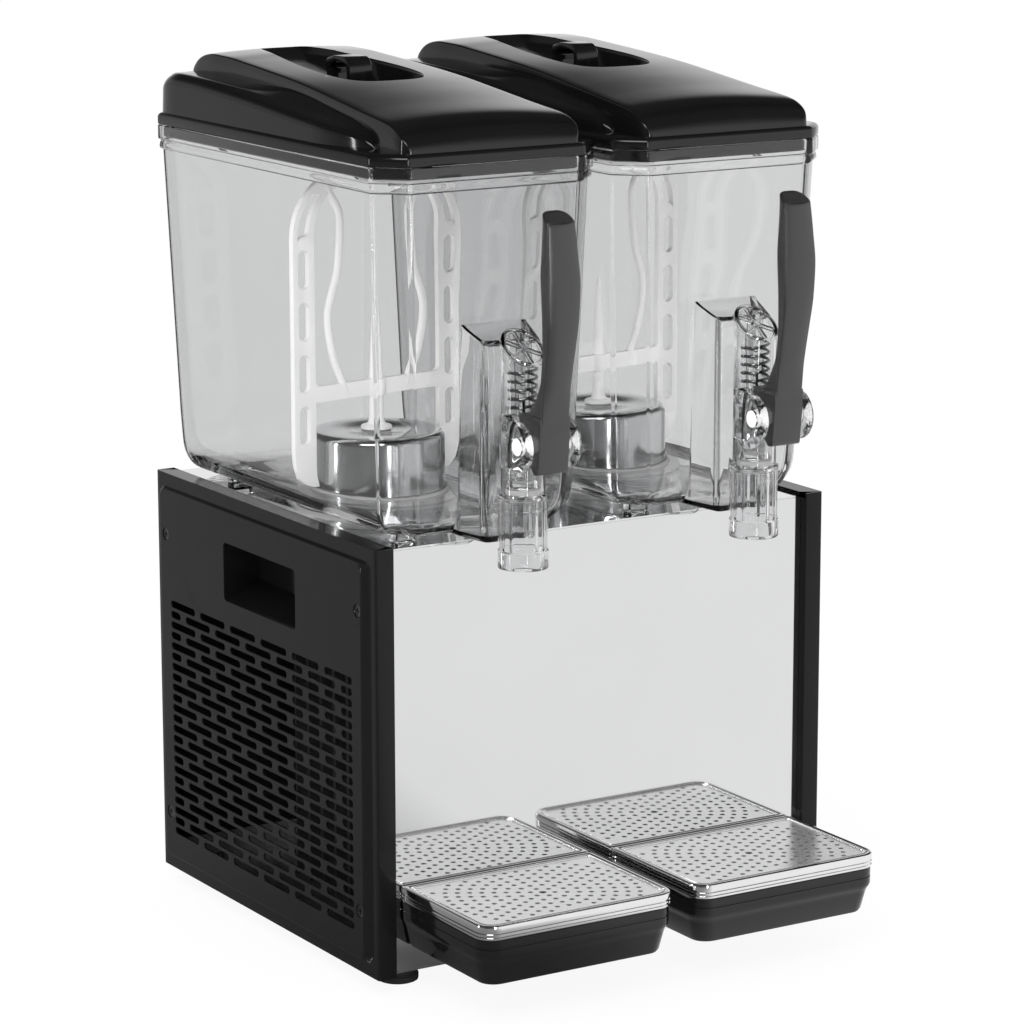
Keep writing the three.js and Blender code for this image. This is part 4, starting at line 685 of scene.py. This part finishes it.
def build_paddles():
    stand = Matrix(((1, 0, 0, 0), (0, 0, -1, (STIR_Y + SHIFT) * MM), (0, 1, 0, 0), (0, 0, 0, 1)))
    tail = [(65.4, 381), (73, 384), (79.5, 391), (83, 402), (84, 414)]
    inside = [(62.4, 453), (62.4, 414), (62.4, 402), (62, 392), (60.4, 381.6)]
    half = tail + arch_run(84, 641, 52)
    outer = half + facing(half) + facing(inside) + inside
    crown = arch_run(62.4, 631, 39)
    harp = rounded([(-62.4, 466, 5), (62.4, 466, 5)] + [(x, z, 0) for x, z in crown + facing(crown)], 4)
    over, under = arch_run(78.8, 636, 47.4, 48, 8), arch_run(68.2, 634, 42, 48, 8)
    run = rounded([(68.2, 590.2, 5.2), (78.8, 590.2, 5.2)] + [(x, z, 0) for x, z in over + under[::-1]], 5)
    gaps = [run, [(-x, z) for x, z in run]]
    for low in (419, 461.8, 504.6, 547.4):
        gaps += [rectangle((x, low), (x + 10.6, low + 32), 5.2, 5) for x in (68.2, -78.8)]
    frame_plate = drawn([outer, harp] + gaps, 5, 1.7, stand)
    rods = [drawn([lyre_rod(s)], 5.6, 2.2, stand) for s in (-1, 1)]
    hub = turned([(0, 424.2), (11.6, 424.2), (12, 424.6), (12, 426.4), (11.2, 427.2), (7, 428.2), (5.4, 431),
                  (5, 436), (5, 452), (6.8, 452.6), (7, 453.2), (7, 465.6), (6.6, 466.4), (5, 466.8), (4.4, 474),
                  (1.8, 530), (1.1, 533.6), (0, 534)], 48, 0, STIR_Y)
    paddle = turned_about(gathered(frame_plate, *rods, hub), "Z", 8, (0, STIR_Y, 0))
    per_station("stirring_paddle", paddle, WHITE, "paddle", "paddle", crisp=38)


# Tanks

# The outer wall, for each height: half its width and half its depth.
OUTER_LEVELS = [(369.5, 76.5, 176.5), (370.2, 79, 179), (372, 82, 182), (376, 85.6, 185.6), (381, 88, 188),
                (388, 89.8, 189.8), (397, 90.6, 190.6), (653, 100, 200)]
TANK_LOW = 369.5
TANK_HIGH = 664.2
TANK_CHAMFER = 22


def tank_wall(inset, low, high):
    """The tank's outer form, or its hollow, a wall's thickness further in."""
    rings = []
    for z in [TANK_LOW, 369.9, 370.4, 371.2, 372.4, 374.2, 377, 381, 386, 392, 399, 420, TANK_HIGH]:
        x, y = eased(OUTER_LEVELS, z)
        at_z = low + (z - TANK_LOW) * (high - low) / (TANK_HIGH - TANK_LOW)
        rings.append([(u, v, at_z) for u, v in chamfered(x - inset, y - inset, TANK_CHAMFER - inset * 0.5, 6)])
    return skinned(rings)


def chamfered_body(rows, chamfer, radius):
    """A body with chamfered corners. Each row is half its width, half its depth and its height."""
    return skinned([[(u, v, z) for u, v in chamfered(x, y, chamfer, radius)] for x, y, z in rows])


def housing_slope(lift):
    """What lies above the sloping top of the tap housing."""
    line = [(-240, 521), (-226, 525.5), (-200, 536), (-188, 543), (-160, 558)]
    return along_x([(y, z + lift) for y, z in line] + [(-160, 600), (-240, 600)], -40, 40)


def housing_plan(right):
    return rounded([(-x, y, radius) for x, y, radius in right] + right[::-1], 4)


def tank_housing():
    """The block on the front wall that holds the tap."""
    plan = housing_plan([(30.6, -165, 0), (30.6, -190, 2), (25.6, -226, 5)])
    return softened(without(upright(plan, TANK_LOW, 556), housing_slope(0)), 1.4, 3, 50)


def build_tanks():
    rim = [(100, 200, 643.6), (101.2, 201.2, 644.6), (101.6, 201.6, 646), (101.4, 201.4, 648.6),
           (100.8, 200.8, 650.4), (101, 201, 651.6), (102.3, 202.3, 652.5), (102.5, 202.5, 653.4),
           (102.5, 202.5, 663.4), (101.9, 201.9, TANK_HIGH), (99.4, 199.4, TANK_HIGH)]
    band = chamfered_body(rim, TANK_CHAMFER, 6)
    feet = [softened(box((x - 9, y - 6, 363.9), (x + 9, y + 6, 371)), 1) for x in (-62, 62) for y in (-160, 118)]
    hollow = upright(housing_plan([(26.4, -165, 0), (26.4, -190, 2), (22, -216, 4)]), 373.5, 556)
    hollow = without(hollow, housing_slope(-3.4))
    floor_hole = turned([(59.2, 366), (59.2, 380)], 96, 0, STIR_Y)
    cradle = turned([(17.8, 366), (17.8, 700)], 64, 0, TAP_Y)
    saddle = box((-24, -256, 432.7), (24, -230, 474.3))
    spout = turned([(20.1, 366), (20.1, 407.3)], 64, 0, TAP_Y)
    port = turned_about(turned([(5, -10), (5, 14)], 32), "X", 90, goal=(0, -216, 424))
    tank = joined(tank_wall(0, TANK_LOW, TANK_HIGH), band, tank_housing(), *feet)
    tank = without(tank, tank_wall(3.5, 373.5, 667), hollow, floor_hole, cradle, saddle, spout, port)
    per_station("clear_tank", tank, CLEAR, "tank", "tank", crisp=34)


# Lids: a sloping crown between two shoulders, on a skirt that grips the tank's rim

# The crown, for each place from rear to front: the height of its side edge and its half width.
CROWN_ROWS = [(188.6, 675, 60), (188.3, 690, 62.4), (187.5, 702, 64), (185.8, 708, 65), (181, 713, 65.6),
              (173.7, 718, 66), (165, 721.4, 66.3), (153.6, 723.6, 66.7), (145, 724.2, 67), (120, 723.9, 67.6),
              (91, 722.2, 68.6), (47, 719.2, 70.4), (4, 716, 72), (-30, 712.8, 73.4), (-80, 706.8, 75.5),
              (-127, 701, 77.5), (-150, 698.4, 78.6), (-165, 696.6, 79.3), (-176, 694.6, 79.8), (-184, 691.8, 80.2),
              (-190, 688.4, 80.2), (-194.5, 684.6, 79), (-197.3, 680.4, 76.8), (-198.6, 676.6, 74.2),
              (-199, 674.2, 72.6)]
# A shoulder, for each place: its ridge's height and distance, its height at the crown and its half width.
WING_ROWS = [(190.4, 674.2, 72, 674.4, 84), (190.2, 683, 73, 683.6, 86), (189.4, 691, 75, 692.5, 89),
             (187.6, 698, 78, 700, 92.4), (184.6, 702.6, 81.6, 704.8, 95), (179, 705.8, 86, 707.4, 97.4),
             (170, 707.8, 90.5, 708.2, 99), (157, 708.4, 92.5, 708.3, 99.5), (120, 707.8, 92.6, 707.6, 99.5),
             (76, 706, 91.6, 706.9, 99.5), (33, 703.6, 90.4, 707.6, 99.5), (4, 701.8, 89.2, 708.2, 99.5),
             (-30, 699, 87.6, 706, 99.5), (-76, 695, 85.4, 699.8, 99.5), (-92, 693.6, 84.8, 697.6, 99.3),
             (-110, 691.8, 84, 695.2, 97.6), (-124, 689.8, 83, 692.4, 94.4), (-134, 687.4, 82, 689.4, 91),
             (-142, 684, 80.8, 685.6, 87.4), (-148, 679.6, 79.4, 680.8, 83.2), (-151.4, 674.4, 78, 675, 79.6)]
LID_BASE = 673.6


def row_places(rows, most):
    """Places along a table, close together where its rows are."""
    places = []
    for (first, *_), (second, *_) in zip(rows, rows[1:]):
        count = max(2, min(6, math.ceil((first - second) / most)))
        places += [first + (second - first) * i / count for i in range(count)]
    return sorted(places + [rows[-1][0]])


def crown_swell(y):
    """How far the crown's middle stands above its sides."""
    rows = [(-199, 0.4), (-192, 3.0), (-170, 4.2), (-100, 4.2), (100, 2.4), (150, 2.3), (180, 1.6), (189, 0.3)]
    return eased(rows, y)[0]


def crown_height(x, y):
    height, half = eased(CROWN_ROWS, y)
    return height + crown_swell(y) * max(0.0, 1 - (x / half) ** 2)


def crown_section(y):
    height, half = eased(CROWN_ROWS, y)
    edge = min(1.7, max(height - LID_BASE, 0.3) * 0.4)
    side = rounded([(half + 0.8, LID_BASE, 0), (half, height, edge), (0, height + 0.01, 0)], 4, False)[:-1]
    last = side[-1][0]
    right = side + [(x, crown_height(x, y)) for x in (last * (1 - (i / 14) ** 1.3) for i in range(1, 15))]
    return [(x, y, z) for x, z in right + facing(right[:-1])]


def wing_section(y):
    ridge, out, root, half = eased(WING_ROWS, y)
    rise = max(ridge - LID_BASE, 0.2)
    inner = eased(CROWN_ROWS, y)[1]
    line = rounded([(half, LID_BASE, 0), (half - 0.03 * rise, ridge - 0.16 * rise, min(10, rise * 0.4)),
                    (out, ridge, min(7, rise * 0.25)), (inner - 1, root, 0), (0, root + 0.01, 0)], 7, False)
    return [(x, y, z) for x, z in line + facing(line[:-1])]


# The finger scoop: half its width and its place, round from front to rear, then its depth by place.
WELL_ROWS = [(0, 0, -46), (1, 9, -45.6), (2, 18, -44), (3, 26, -40), (4, 32, -34), (5, 36, -25), (6, 38.6, -12),
             (7, 39.6, 8), (8, 38.4, 34), (9, 35.4, 62), (10, 31, 90), (11, 26.4, 118), (12, 21, 144), (13, 14, 160)]
WELL_DEPTHS = [(160, 0.3), (153, 0.6), (147, 3.4), (138, 7.4), (124, 10), (98, 12), (70, 13.4), (57, 14.4), (51, 17),
               (46, 21.5), (38, 24), (10, 25), (-30, 23), (-60, 22)]


def well_line(grow):
    """The finger scoop's outline, from its front middle round its right side to the rear."""
    line = [eased(WELL_ROWS, i / 3) for i in range(40)]
    return [(max(x, 0.05 * i), y) for i, (x, y) in enumerate(beside(line, grow))]


def well_solid(spare):
    """The scoop as a solid to cut with, its floor following the crown. Spare thickens it all round."""
    levels = [(-4.2, 1.0), (-2, 0.96), (-0.9, 0.84), (0, 0.13), (0.2, 0.06), (0.6, 0.02), (1.2, 0.0)]
    rings = []
    for grow, share in levels:
        half = []
        for x, y in well_line(spare + grow):
            depth = eased(WELL_DEPTHS, y)[0] + (spare if share > 0.5 else 0)
            half.append((x, y, crown_height(x, min(y, 150)) - depth * share + (0.06 if share == 0 else 0)))
        rings.append(half + [(-x, y, z) for x, y, z in half[::-1]])
    rings.append([(x, y, 760) for x, y, z in rings[-1]])
    count = len(rings[0])
    points = [q for ring in rings for q in ring]
    faces = []
    for level in range(len(rings) - 1):
        low, high = level * count, (level + 1) * count
        faces += [(low + i, low + (i + 1) % count, high + (i + 1) % count, high + i) for i in range(count)]
    for end in (0, len(points) - count):
        faces += [(end + i, end + i + 1, end + count - 2 - i, end + count - 1 - i) for i in range(count // 2 - 1)]
    return mesh_of(points, faces)


def lid_strap():
    """The bent strap that stands in the finger scoop, a leg before and a leg behind."""
    outside = [(11.6, 696, 0), (11.6, 728.6, 11), (38, 728.7, 14), (54, 724.5, 6), (50.4, 714, 6), (47, 696, 0)]
    inside = [(42, 696, 0), (45, 713, 5), (47.4, 720, 3.5), (37, 723.4, 9), (17, 723.4, 6), (16.6, 696, 0)]
    line = rounded(outside, 8, False) + rounded(inside, 8, False)
    return softened(along_x(line, -11, 11), 1.1, 3, 50)


def build_lids():
    crown = skinned([crown_section(y) for y in row_places(CROWN_ROWS, 9)])
    wing = skinned([wing_section(y) for y in row_places(WING_ROWS, 9)])
    skirt = chamfered_body([(101.6, 201.6, 664.5), (102.3, 202.3, 665), (102.5, 202.5, 665.9), (102.5, 202.5, 670.6),
                            (102.2, 202.2, 672), (101.4, 201.4, 673.3), (100.2, 200.2, 674.2), (98.8, 198.8, 674.5)],
                           TANK_CHAMFER, 7)
    plug = chamfered_body([(94.4, 194.4, 654.5), (95.6, 195.6, 655.4), (95.9, 195.9, 666)], 21, 6)
    hollow = chamfered_body([(91, 191, 650), (91, 191, 671.4)], 20, 5)
    shell = joined(crown, wing)
    inside_crown = skinned([[(x * 0.955, y, z - 3) for x, y, z in crown_section(y)] for y in range(-193, 184, 8)])
    inside_wing = skinned([[(x * 0.965, y, z - 3) for x, y, z in wing_section(y)] for y in range(-144, 184, 8)])
    tub = combined(well_solid(2.4), shell.copy(), "INTERSECT")
    lid = without(joined(shell, skirt, plug), hollow, inside_crown, inside_wing)
    lid = without(joined(lid, tub), well_solid(0.0))
    lid = joined(lid, lid_strap())
    per_station("gloss_lid", lid, BLACK, "lid", "lid", crisp=26)


# Taps

# The middle of the slanted cap, and its slope.
CAP_Z = 523.5
CAP_SLOPE = 25 / 35


def tap_cap():
    """The slanted open cap: a rim and six spokes over the spring."""
    rim = turned([(14.2, -1.6), (17.6, -1.6), (17.6, 1.4), (16.6, 2.2), (15, 2.2), (14.2, 1.4)], 64, 0, 0, True)
    bars = [turned_about(softened(box((-15, -1.1, -1.2), (15, 1.1, 1.8)), 0.5), "Z", 30 + 60 * i) for i in range(3)]
    boss = turned([(0, -1.2), (3.4, -1.2), (3.4, 1.6), (2.8, 2.3), (0, 2.4)], 32)
    cap = joined(rim, boss, *bars)
    cap.transform(Matrix.Translation(-at((0, 0, 0))))
    cap.transform(Matrix.Diagonal((1, 1.22, 1, 1)))
    cap.transform(Matrix.Translation(at((0, TAP_Y, CAP_Z))) @ Matrix.Rotation(math.atan(CAP_SLOPE), 4, "X"))
    return cap


def pin_shape(profile):
    """A turned body that lies across the lever's pivot."""
    return turned_about(turned(profile, 48), "Y", 90, goal=(0,) + PIVOT)


def tap_ears():
    """The two ears that hold the lever's pin, on a saddle across the barrel."""
    y0, z0 = PIVOT
    back = TAP_Y - 6
    arc = [(y0 + 20 * math.cos(math.radians(d)), z0 + 20 * math.sin(math.radians(d))) for d in range(-84, -277, -8)]
    plan = [(back, 433.2)] + arc + [(back, 474)]
    plates = [softened(along_x(plan, low, low + 3.5), 0.9, 2, 60) for low in (-23.7, 20.2)]
    saddle = softened(box((-23.7, -252, 433.4), (23.7, -242, 474)), 1.2)
    return without(joined(saddle, *plates), pin_shape([(7.15, -40), (7.15, 40)]))


def build_taps():
    shank = turned([(17.5, 395), (17.5, 560)], 64, 0, TAP_Y)
    line = [(y, CAP_Z + (y - TAP_Y) * CAP_SLOPE) for y in (-280, -200)]
    shank = without(shank, along_x(line + [(-200, 640), (-280, 640)], -40, 40))
    spout = turned([(18.6, 350), (19.7, 350.3), (20, 351), (20, 364), (19.4, 364.8), (19, 365), (19, 396),
                    (19.5, 396.4), (19.5, 397.6), (19, 398), (19, 405.4), (19.7, 406), (19.7, 408.6), (17.6, 409.6),
                    (17.2, 411)], 64, 0, TAP_Y)
    flutes = []
    for i in range(96):
        angle = 2 * math.pi * i / 96
        radius = 14.9 + 0.5 * math.cos(12 * angle)
        flutes.append((radius * math.cos(angle), TAP_Y + radius * math.sin(angle)))
    bore_low = joined(upright(flutes, 362, 404), turned([(16.6, 348), (15.6, 352), (15.4, 363)], 64, 0, TAP_Y))
    seat = turned([(11.5, 400), (11.5, 412)], 64, 0, TAP_Y)
    bore = turned([(14.8, 409), (14.8, 512), (14.2, 560)], 64, 0, TAP_Y)
    slot = box((-8, -274, 438), (8, TAP_Y, 486))
    body = joined(shank, spout, tap_ears())
    tap = joined(without(body, bore_low, seat, bore, slot), tap_cap())
    per_station("tap_barrel_clear", tap, CRYSTAL, "tank", "tap_barrel", crisp=34)
    build_levers()
    build_plungers()


# The lever's handle, for each height: its front, its rear and half its width.
GRIP_ROWS = [(463, -285, -256, 12.3), (470, -286, -259, 12.5), (478, -287.4, -266, 12.5), (484, -288.5, -272, 12.5),
             (493, -290, -277.5, 12.5), (502, -292, -282, 12.5), (514, -294.2, -284.4, 12.7), (528, -297, -286, 13),
             (554, -301, -287, 14), (579, -302, -286, 14.5), (603, -300, -283.5, 13.5), (620, -297.8, -281.4, 12.7),
             (632, -296, -280, 12)]


def grip_ring(z, inset, tip):
    """A section of the handle: a bowed front, and a rear that rounds off toward the tip."""
    front, rear, half = eased(GRIP_ROWS, z)
    bow = 2.6 * max(0.0, min(1, (z - 470) / 30))
    back = 2.6 + 6 * max(0.0, min(1, (z - 590) / 30))
    wide, face = half - inset, front + inset
    line = rounded([(-wide, face + bow, 1.3), (-wide * 0.55, face + bow * 0.3, 0), (0, face, 0),
                    (wide * 0.55, face + bow * 0.3, 0), (wide, face + bow, 1.3), (wide, rear - inset, back),
                    (-wide, rear - inset, back)], 5)
    return [(x, y, z + tip * (y - front) / (rear - front)) for x, y in line]


def lever_grip():
    levels = [463 + 3.4 * i for i in range(49)]
    last, rise = levels[-1], 9
    rings = [grip_ring(z, 0, rise * max(0.0, (z - 600) / (last - 600))) for z in levels]
    rings += [grip_ring(last + up, inset, rise) for up, inset in ((0.5, 0.3), (0.8, 0.9), (0.8, 1.4))]
    stud = turned([(0.95, -0.4), (0.9, 0.15), (0.6, 0.55), (0, 0.7)], 10)
    studs = []
    for row in range(5):
        for i in range(9):
            x, y = (i - 4 + 0.5 * (row % 2)) * 2.5, -294 + 2.4 * row
            if math.hypot(x, max(0.0, y + 291)) < 10.4:
                studs.append(moved(stud, x, y, last + 0.8 + rise * (y + 296.6) / 16))
    return gathered(skinned(rings), *studs)


def lever_foot():
    """The lever's foot between the ears, and the finger that reaches into the plunger."""
    y0, z0 = PIVOT
    corners = [(-18.6, 24, 0), (-18.2, 8, 8), (-15, -21.4, 3), (-8.5, -21.4, 3), (3, -7.5, 5), (10, -8, 8),
               (10.2, 8, 5), (12.5, 24, 0)]
    foot = along_x(rounded([(y0 + y, z0 + z, radius) for y, z, radius in corners], 5), -13.4, 13.4)
    finger = softened(box((-6, y0, z0 - 4.7), (6, -235, z0 + 4.7)), 1)
    return joined(softened(foot, 1.6, 3, 50), finger)


def build_levers():
    lever = gathered(lever_grip(), without(lever_foot(), pin_shape([(7, -40), (7, 40)])))
    per_station("pull_lever", lever, GRIP, "lever", "lever", crisp=40)
    pin = pin_shape([(0, -24), (6.2, -24), (6.85, -23.4), (6.85, 21.9), (6.2, 22.4), (0, 22.4)])
    per_station("pivot_pin", pin, WHITE, "tank", "lever_pin")


def build_plungers():
    body = turned([(0, 404.3), (10.4, 404.3), (10.9, 405), (10.9, 413.6), (13.8, 413.6), (14.2, 414.2),
                   (14.2, 415), (9.4, 419.6), (9, 420.4), (9, 429.4), (9.6, 430), (13.7, 430), (14.2, 430.6),
                   (14.2, 465.4), (13.6, 466), (5.6, 466), (5, 466.6), (5, 491), (4, 492), (0, 492)], 64, 0, TAP_Y)
    body = without(body, softened(box((-7, -260, 436), (7, -232, 459.5)), 0.8))
    per_station("valve_plunger", body, CRYSTAL, "plunger", "plunger")
    seal = turned([(11.2, 409.4), (14, 409.4), (14.3, 410), (14.3, 412.7), (14, 413.3), (11.2, 413.3)],
                  64, 0, TAP_Y, True)
    per_station("seal_ring", seal, GREY, "plunger", "plunger_seal")
    low, high, steps = 467.5, 508.9, 6 * 32
    turn = circle(10.7, 32, 0, TAP_Y)
    points = [(*turn[i % 32], low + (high - low) * i / steps) for i in range(steps + 1)]
    springs = per_station("return_spring", wire(points, 1.2), SPRING, "tank", "valve_spring")
    for (side, _), thing in zip(SIDES, springs):
        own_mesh(thing)


# Drip trays

# The outline about the tray's own middle: left, right, front and rear.
TRAY = (-90, 90, -311, -182.4)
GRID_Y = -252


def tray_line(side, front, rear, radius):
    x0, x1, y0, y1 = TRAY
    return rounded([(x0 + side, y0 + front, radius), (x1 - side, y0 + front, radius), (x1 - side, y1 - rear, 3),
                    (x0 + side, y1 - rear, 3)], 6)


def tray_body(rows, ends=True):
    """A body in the tray's outline. Each row is its side, front and rear insets, height and corner."""
    rings = [[(u, v, z) for u, v in tray_line(side, front, rear, radius)] for side, front, rear, z, radius in rows]
    return skinned(rings, ends, not ends)


def build_trays():
    outer = [(11, 11, 2, 36, 12), (8, 8.4, 1.2, 36.8, 13), (6.6, 7, 0.8, 39, 14), (3.6, 4.2, 0.4, 53, 15),
             (2.6, 3.2, 0.3, 56.4, 15.6), (1.6, 2, 0.2, 58, 16), (0.9, 1, 0, 60.6, 16), (0.8, 0.8, 0, 62, 16),
             (0.8, 0.8, 0, 67, 16), (1.3, 1.3, 0, 67.4, 16), (1.3, 1.3, 0, 68.6, 16), (0.8, 0.8, 0, 69, 16),
             (0.8, 0.8, 0, 74.4, 16), (1.3, 1.3, 0, 75, 16)]
    inner = [(13, 13, 5, 39, 11), (10, 10.6, 4, 41, 12), (6, 6.6, 3, 55, 13), (4.4, 4.4, 2.6, 62, 14),
             (4.2, 4.2, 2.6, 80, 14)]
    basin = without(tray_body(outer), tray_body(inner))
    hooks = [box((x - 12, -185, 69), (x + 12, -173.5, 72)) for x in (-50, 50)]
    per_station("drip_basin_black", gathered(basin, *hooks), BLACK, "tray", "drip_basin", TRAY_X)
    band = [(1.0, 75.4), (0.3, 75.7), (0.05, 76.4), (0.05, 77.4), (1.5, 77.9), (1.5, 78.7), (0.05, 79.2),
            (0.05, 80.3), (1.5, 80.8), (1.5, 81.6), (0.05, 82.1), (0.05, 85.6), (0.4, 86.6), (1.3, 87.2),
            (2.4, 87.25), (3.6, 87), (4.4, 86.2), (4.6, 85), (4.6, 84.2), (7, 84), (7, 75.4)]
    bezel = tray_body([(i, i, i if i > 1 else 0.6 * i, z, max(16 - i, 8)) for i, z in band], False)
    per_station("ridged_bezel", bezel, PLATING, "tray", "grid_bezel", TRAY_X)
    per_station("punched_grid", drip_grid(), PUNCHED, "grid", "drip_grid", TRAY_X)


def drip_grid():
    """A plate with rings of holes round its middle, in a turned-up rim."""
    holes = [circle(3.2, 14, 0, GRID_Y)]
    for ring in range(1, 12):
        radius = 9.72 * ring
        count = round(2 * math.pi * radius / 10.2)
        for i in range(count):
            angle = 2 * math.pi * (i + 0.5 * (ring % 2)) / count
            x, y = radius * math.cos(angle), GRID_Y + radius * math.sin(angle)
            corner = abs(x) > 70 and (y < -291 or y > -202)
            if abs(x) < 78.5 and -299.5 < y < -193.5 and not corner:
                holes.append(circle(2.3, 10, x, y))
    plate = upright(tray_line(4.9, 4.9, 4.9, 11.5), 84.9, 86.1)
    plate = punched(plate, holes, 80, 90, upright)
    rim = [(5.0, 85.4), (5.0, 86.8), (5.5, 87.3), (6.3, 87.3), (6.9, 86.8), (7.3, 86.0), (7.3, 85.4)]
    return gathered(plate, tray_body([(i, i, i, z, 11) for i, z in rim], False))


# Finishes of the solids that stay as they are

def dress_solids():
    # The condenser and fan blade take aluminium darkened as painted shade for the cabinet's dark inside.
    finishes = {
        "front_panel": MIRROR, "top_deck": MIRROR, "rear_panel": ENAMEL, "base_pan": STEEL, "compressor": CAST,
        "condenser": SHADE_DARKENED_FIN, "fan_shroud": STEEL, "fan_motor": CAST, "fan_blade": SHADE_DARKENED_FIN, "control_plate": BLACK,
        "thermostat": STEEL, "thermostat_knob": BLACK, "power_switch": BLACK, "cord_gland": BLACK,
    }
    for side, _ in SIDES:
        for name, finish in (("hand_cup", BLACK), ("stir_motor", CAST), ("drive_rotor", STEEL),
                             ("stir_switch", BLACK)):
            finishes[f"{side}_{name}"] = finish
    for name, finish in finishes.items():
        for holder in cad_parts[name].material_slots:
            holder.material = finish.material


# Floor, light and camera

# Brightness of the studio round the machine, by shares of a turn from due west through south, east and north.
AROUND = [(0.0, 0.1), (0.1, 0.05), (0.19, 0.1), (0.24, 0.4), (0.28, 0.9), (0.44, 1.0), (0.53, 0.9), (0.555, 0.35),
          (0.585, 0.4), (0.605, 1.0), (0.725, 1.0), (0.77, 0.55), (0.85, 0.28), (0.93, 0.14), (1.0, 0.1)]
# How it darkens upward, from straight down to straight up, behind the machine and before it.
REAR_RISE = [(0.0, 1.0), (0.56, 1.0), (0.6, 0.92), (0.635, 0.62), (0.66, 0.36), (0.69, 0.14), (0.73, 0.03),
             (1.0, 0.02)]
FRONT_RISE = [(0.0, 1.0), (0.64, 0.95), (0.72, 0.5), (0.8, 0.12), (1.0, 0.03)]


def build_stage():
    f = Finish("studio_floor")
    place = f.node("NewGeometry", None, None, "Position")
    lit = f.node("BsdfDiffuse", None, {"Color": f.blend(f.noise(3, 2, place), grey(0.93), grey(0.96))})
    white = f.node("Emission", None, {"Color": grey(1), "Strength": 1.0})
    sweep = f.node("Emission", None, {"Color": f.around(place), "Strength": 0.92})
    bounced = f.larger(f.ray("Glossy"), f.ray("Transmission"))
    seen = f.node("MixShader", None, {0: f.ray("Camera") * 0.92, 1: lit, 2: white})
    f.surface(f.node("MixShader", None, {0: bounced * 0.88, 1: seen, 2: sweep}))
    mesh = bpy.data.meshes.new("floor")
    mesh.from_pydata([(-30, -30, 0), (30, -30, 0), (30, 30, 0), (-30, 30, 0)], [], [(0, 1, 2, 3)])
    mesh.materials.append(f.material)
    floor = bpy.data.objects.new("studio_floor", mesh)
    bpy.context.scene.collection.objects.link(floor)


def build_world():
    """A white sweep behind and beside the machine, under a dark studio roof."""
    world = bpy.data.worlds.new("studio")
    bpy.context.scene.world = world
    world.use_nodes = True
    n = Nodes(world.node_tree)
    heading = n.node("TexCoord", None, None, "Generated")
    rise = n.part(heading, "Z") * 0.5 + 0.5
    behind = n.node("ValToRGB", {"ramp": REAR_RISE}, {"Fac": rise})
    before = n.node("ValToRGB", {"ramp": FRONT_RISE}, {"Fac": rise})
    side = n.node("MapRange", None, {"Value": n.part(heading, "Y"), "From Min": -0.1, "From Max": 0.25})
    upward = n.node("Mix", {"data_type": "RGBA"}, {0: side, 6: before, 7: behind}, 2)
    tone = n.node("Mix", {"data_type": "RGBA", "blend_type": "MULTIPLY"},
                  {0: 1.0, 6: n.around(heading), 7: upward}, 2)
    seen = n.larger(n.larger(n.ray("Glossy"), n.ray("Transmission")), n.ray("Camera"))
    fill = n.node("Background", None, {"Color": grey(1), "Strength": 1.12})
    sweep = n.node("Background", None, {"Color": tone, "Strength": 1.0})
    n.node("OutputWorld", None, {"Surface": n.node("MixShader", None, {0: seen, 1: fill, 2: sweep})})


def softbox(name, place, target, size, power):
    lamp = bpy.data.lights.new(name, "AREA")
    lamp.shape = "RECTANGLE"
    lamp.size, lamp.size_y = size
    lamp.energy = power
    thing = bpy.data.objects.new(name, lamp)
    thing.location = place
    thing.rotation_euler = (Vector(target) - Vector(place)).to_track_quat("-Z", "Y").to_euler()
    bpy.context.scene.collection.objects.link(thing)


def build_lights():
    softbox("key_softbox", (-1.5, -1.7, 2.3), (0, 0, 0.35), (1.6, 1.2), 32)
    softbox("left_strip", (-2.35, 0.5, 0.62), (0, 0, 0.62), (0.14, 1.24), 8)
    softbox("front_strip", (-0.54, -2.44, 0.62), (0, 0, 0.62), (0.14, 1.24), 8)


def build_camera():
    scene = bpy.context.scene
    camera = bpy.data.objects.new("camera", bpy.data.cameras.new("camera"))
    camera.data.sensor_width = 36
    camera.data.lens = 135.507
    camera.data.clip_end = 60
    camera.location = (-1.66087, -2.68512, 1.02139)
    camera.rotation_euler = (1.360752, 0.001559, -0.552569)
    scene.collection.objects.link(camera)
    scene.camera = camera
    scene.view_settings.view_transform = "Standard"
    scene.cycles.transparent_max_bounces = 48
    scene.cycles.max_bounces = 24
    scene.cycles.transmission_bounces = 24
    scene.cycles.glossy_bounces = 6


build_camera()
build_side_panels()
build_feet()
build_domes()
build_paddles()
build_tanks()
build_lids()
build_taps()
build_trays()
dress_solids()
build_stage()
build_world()
build_lights()
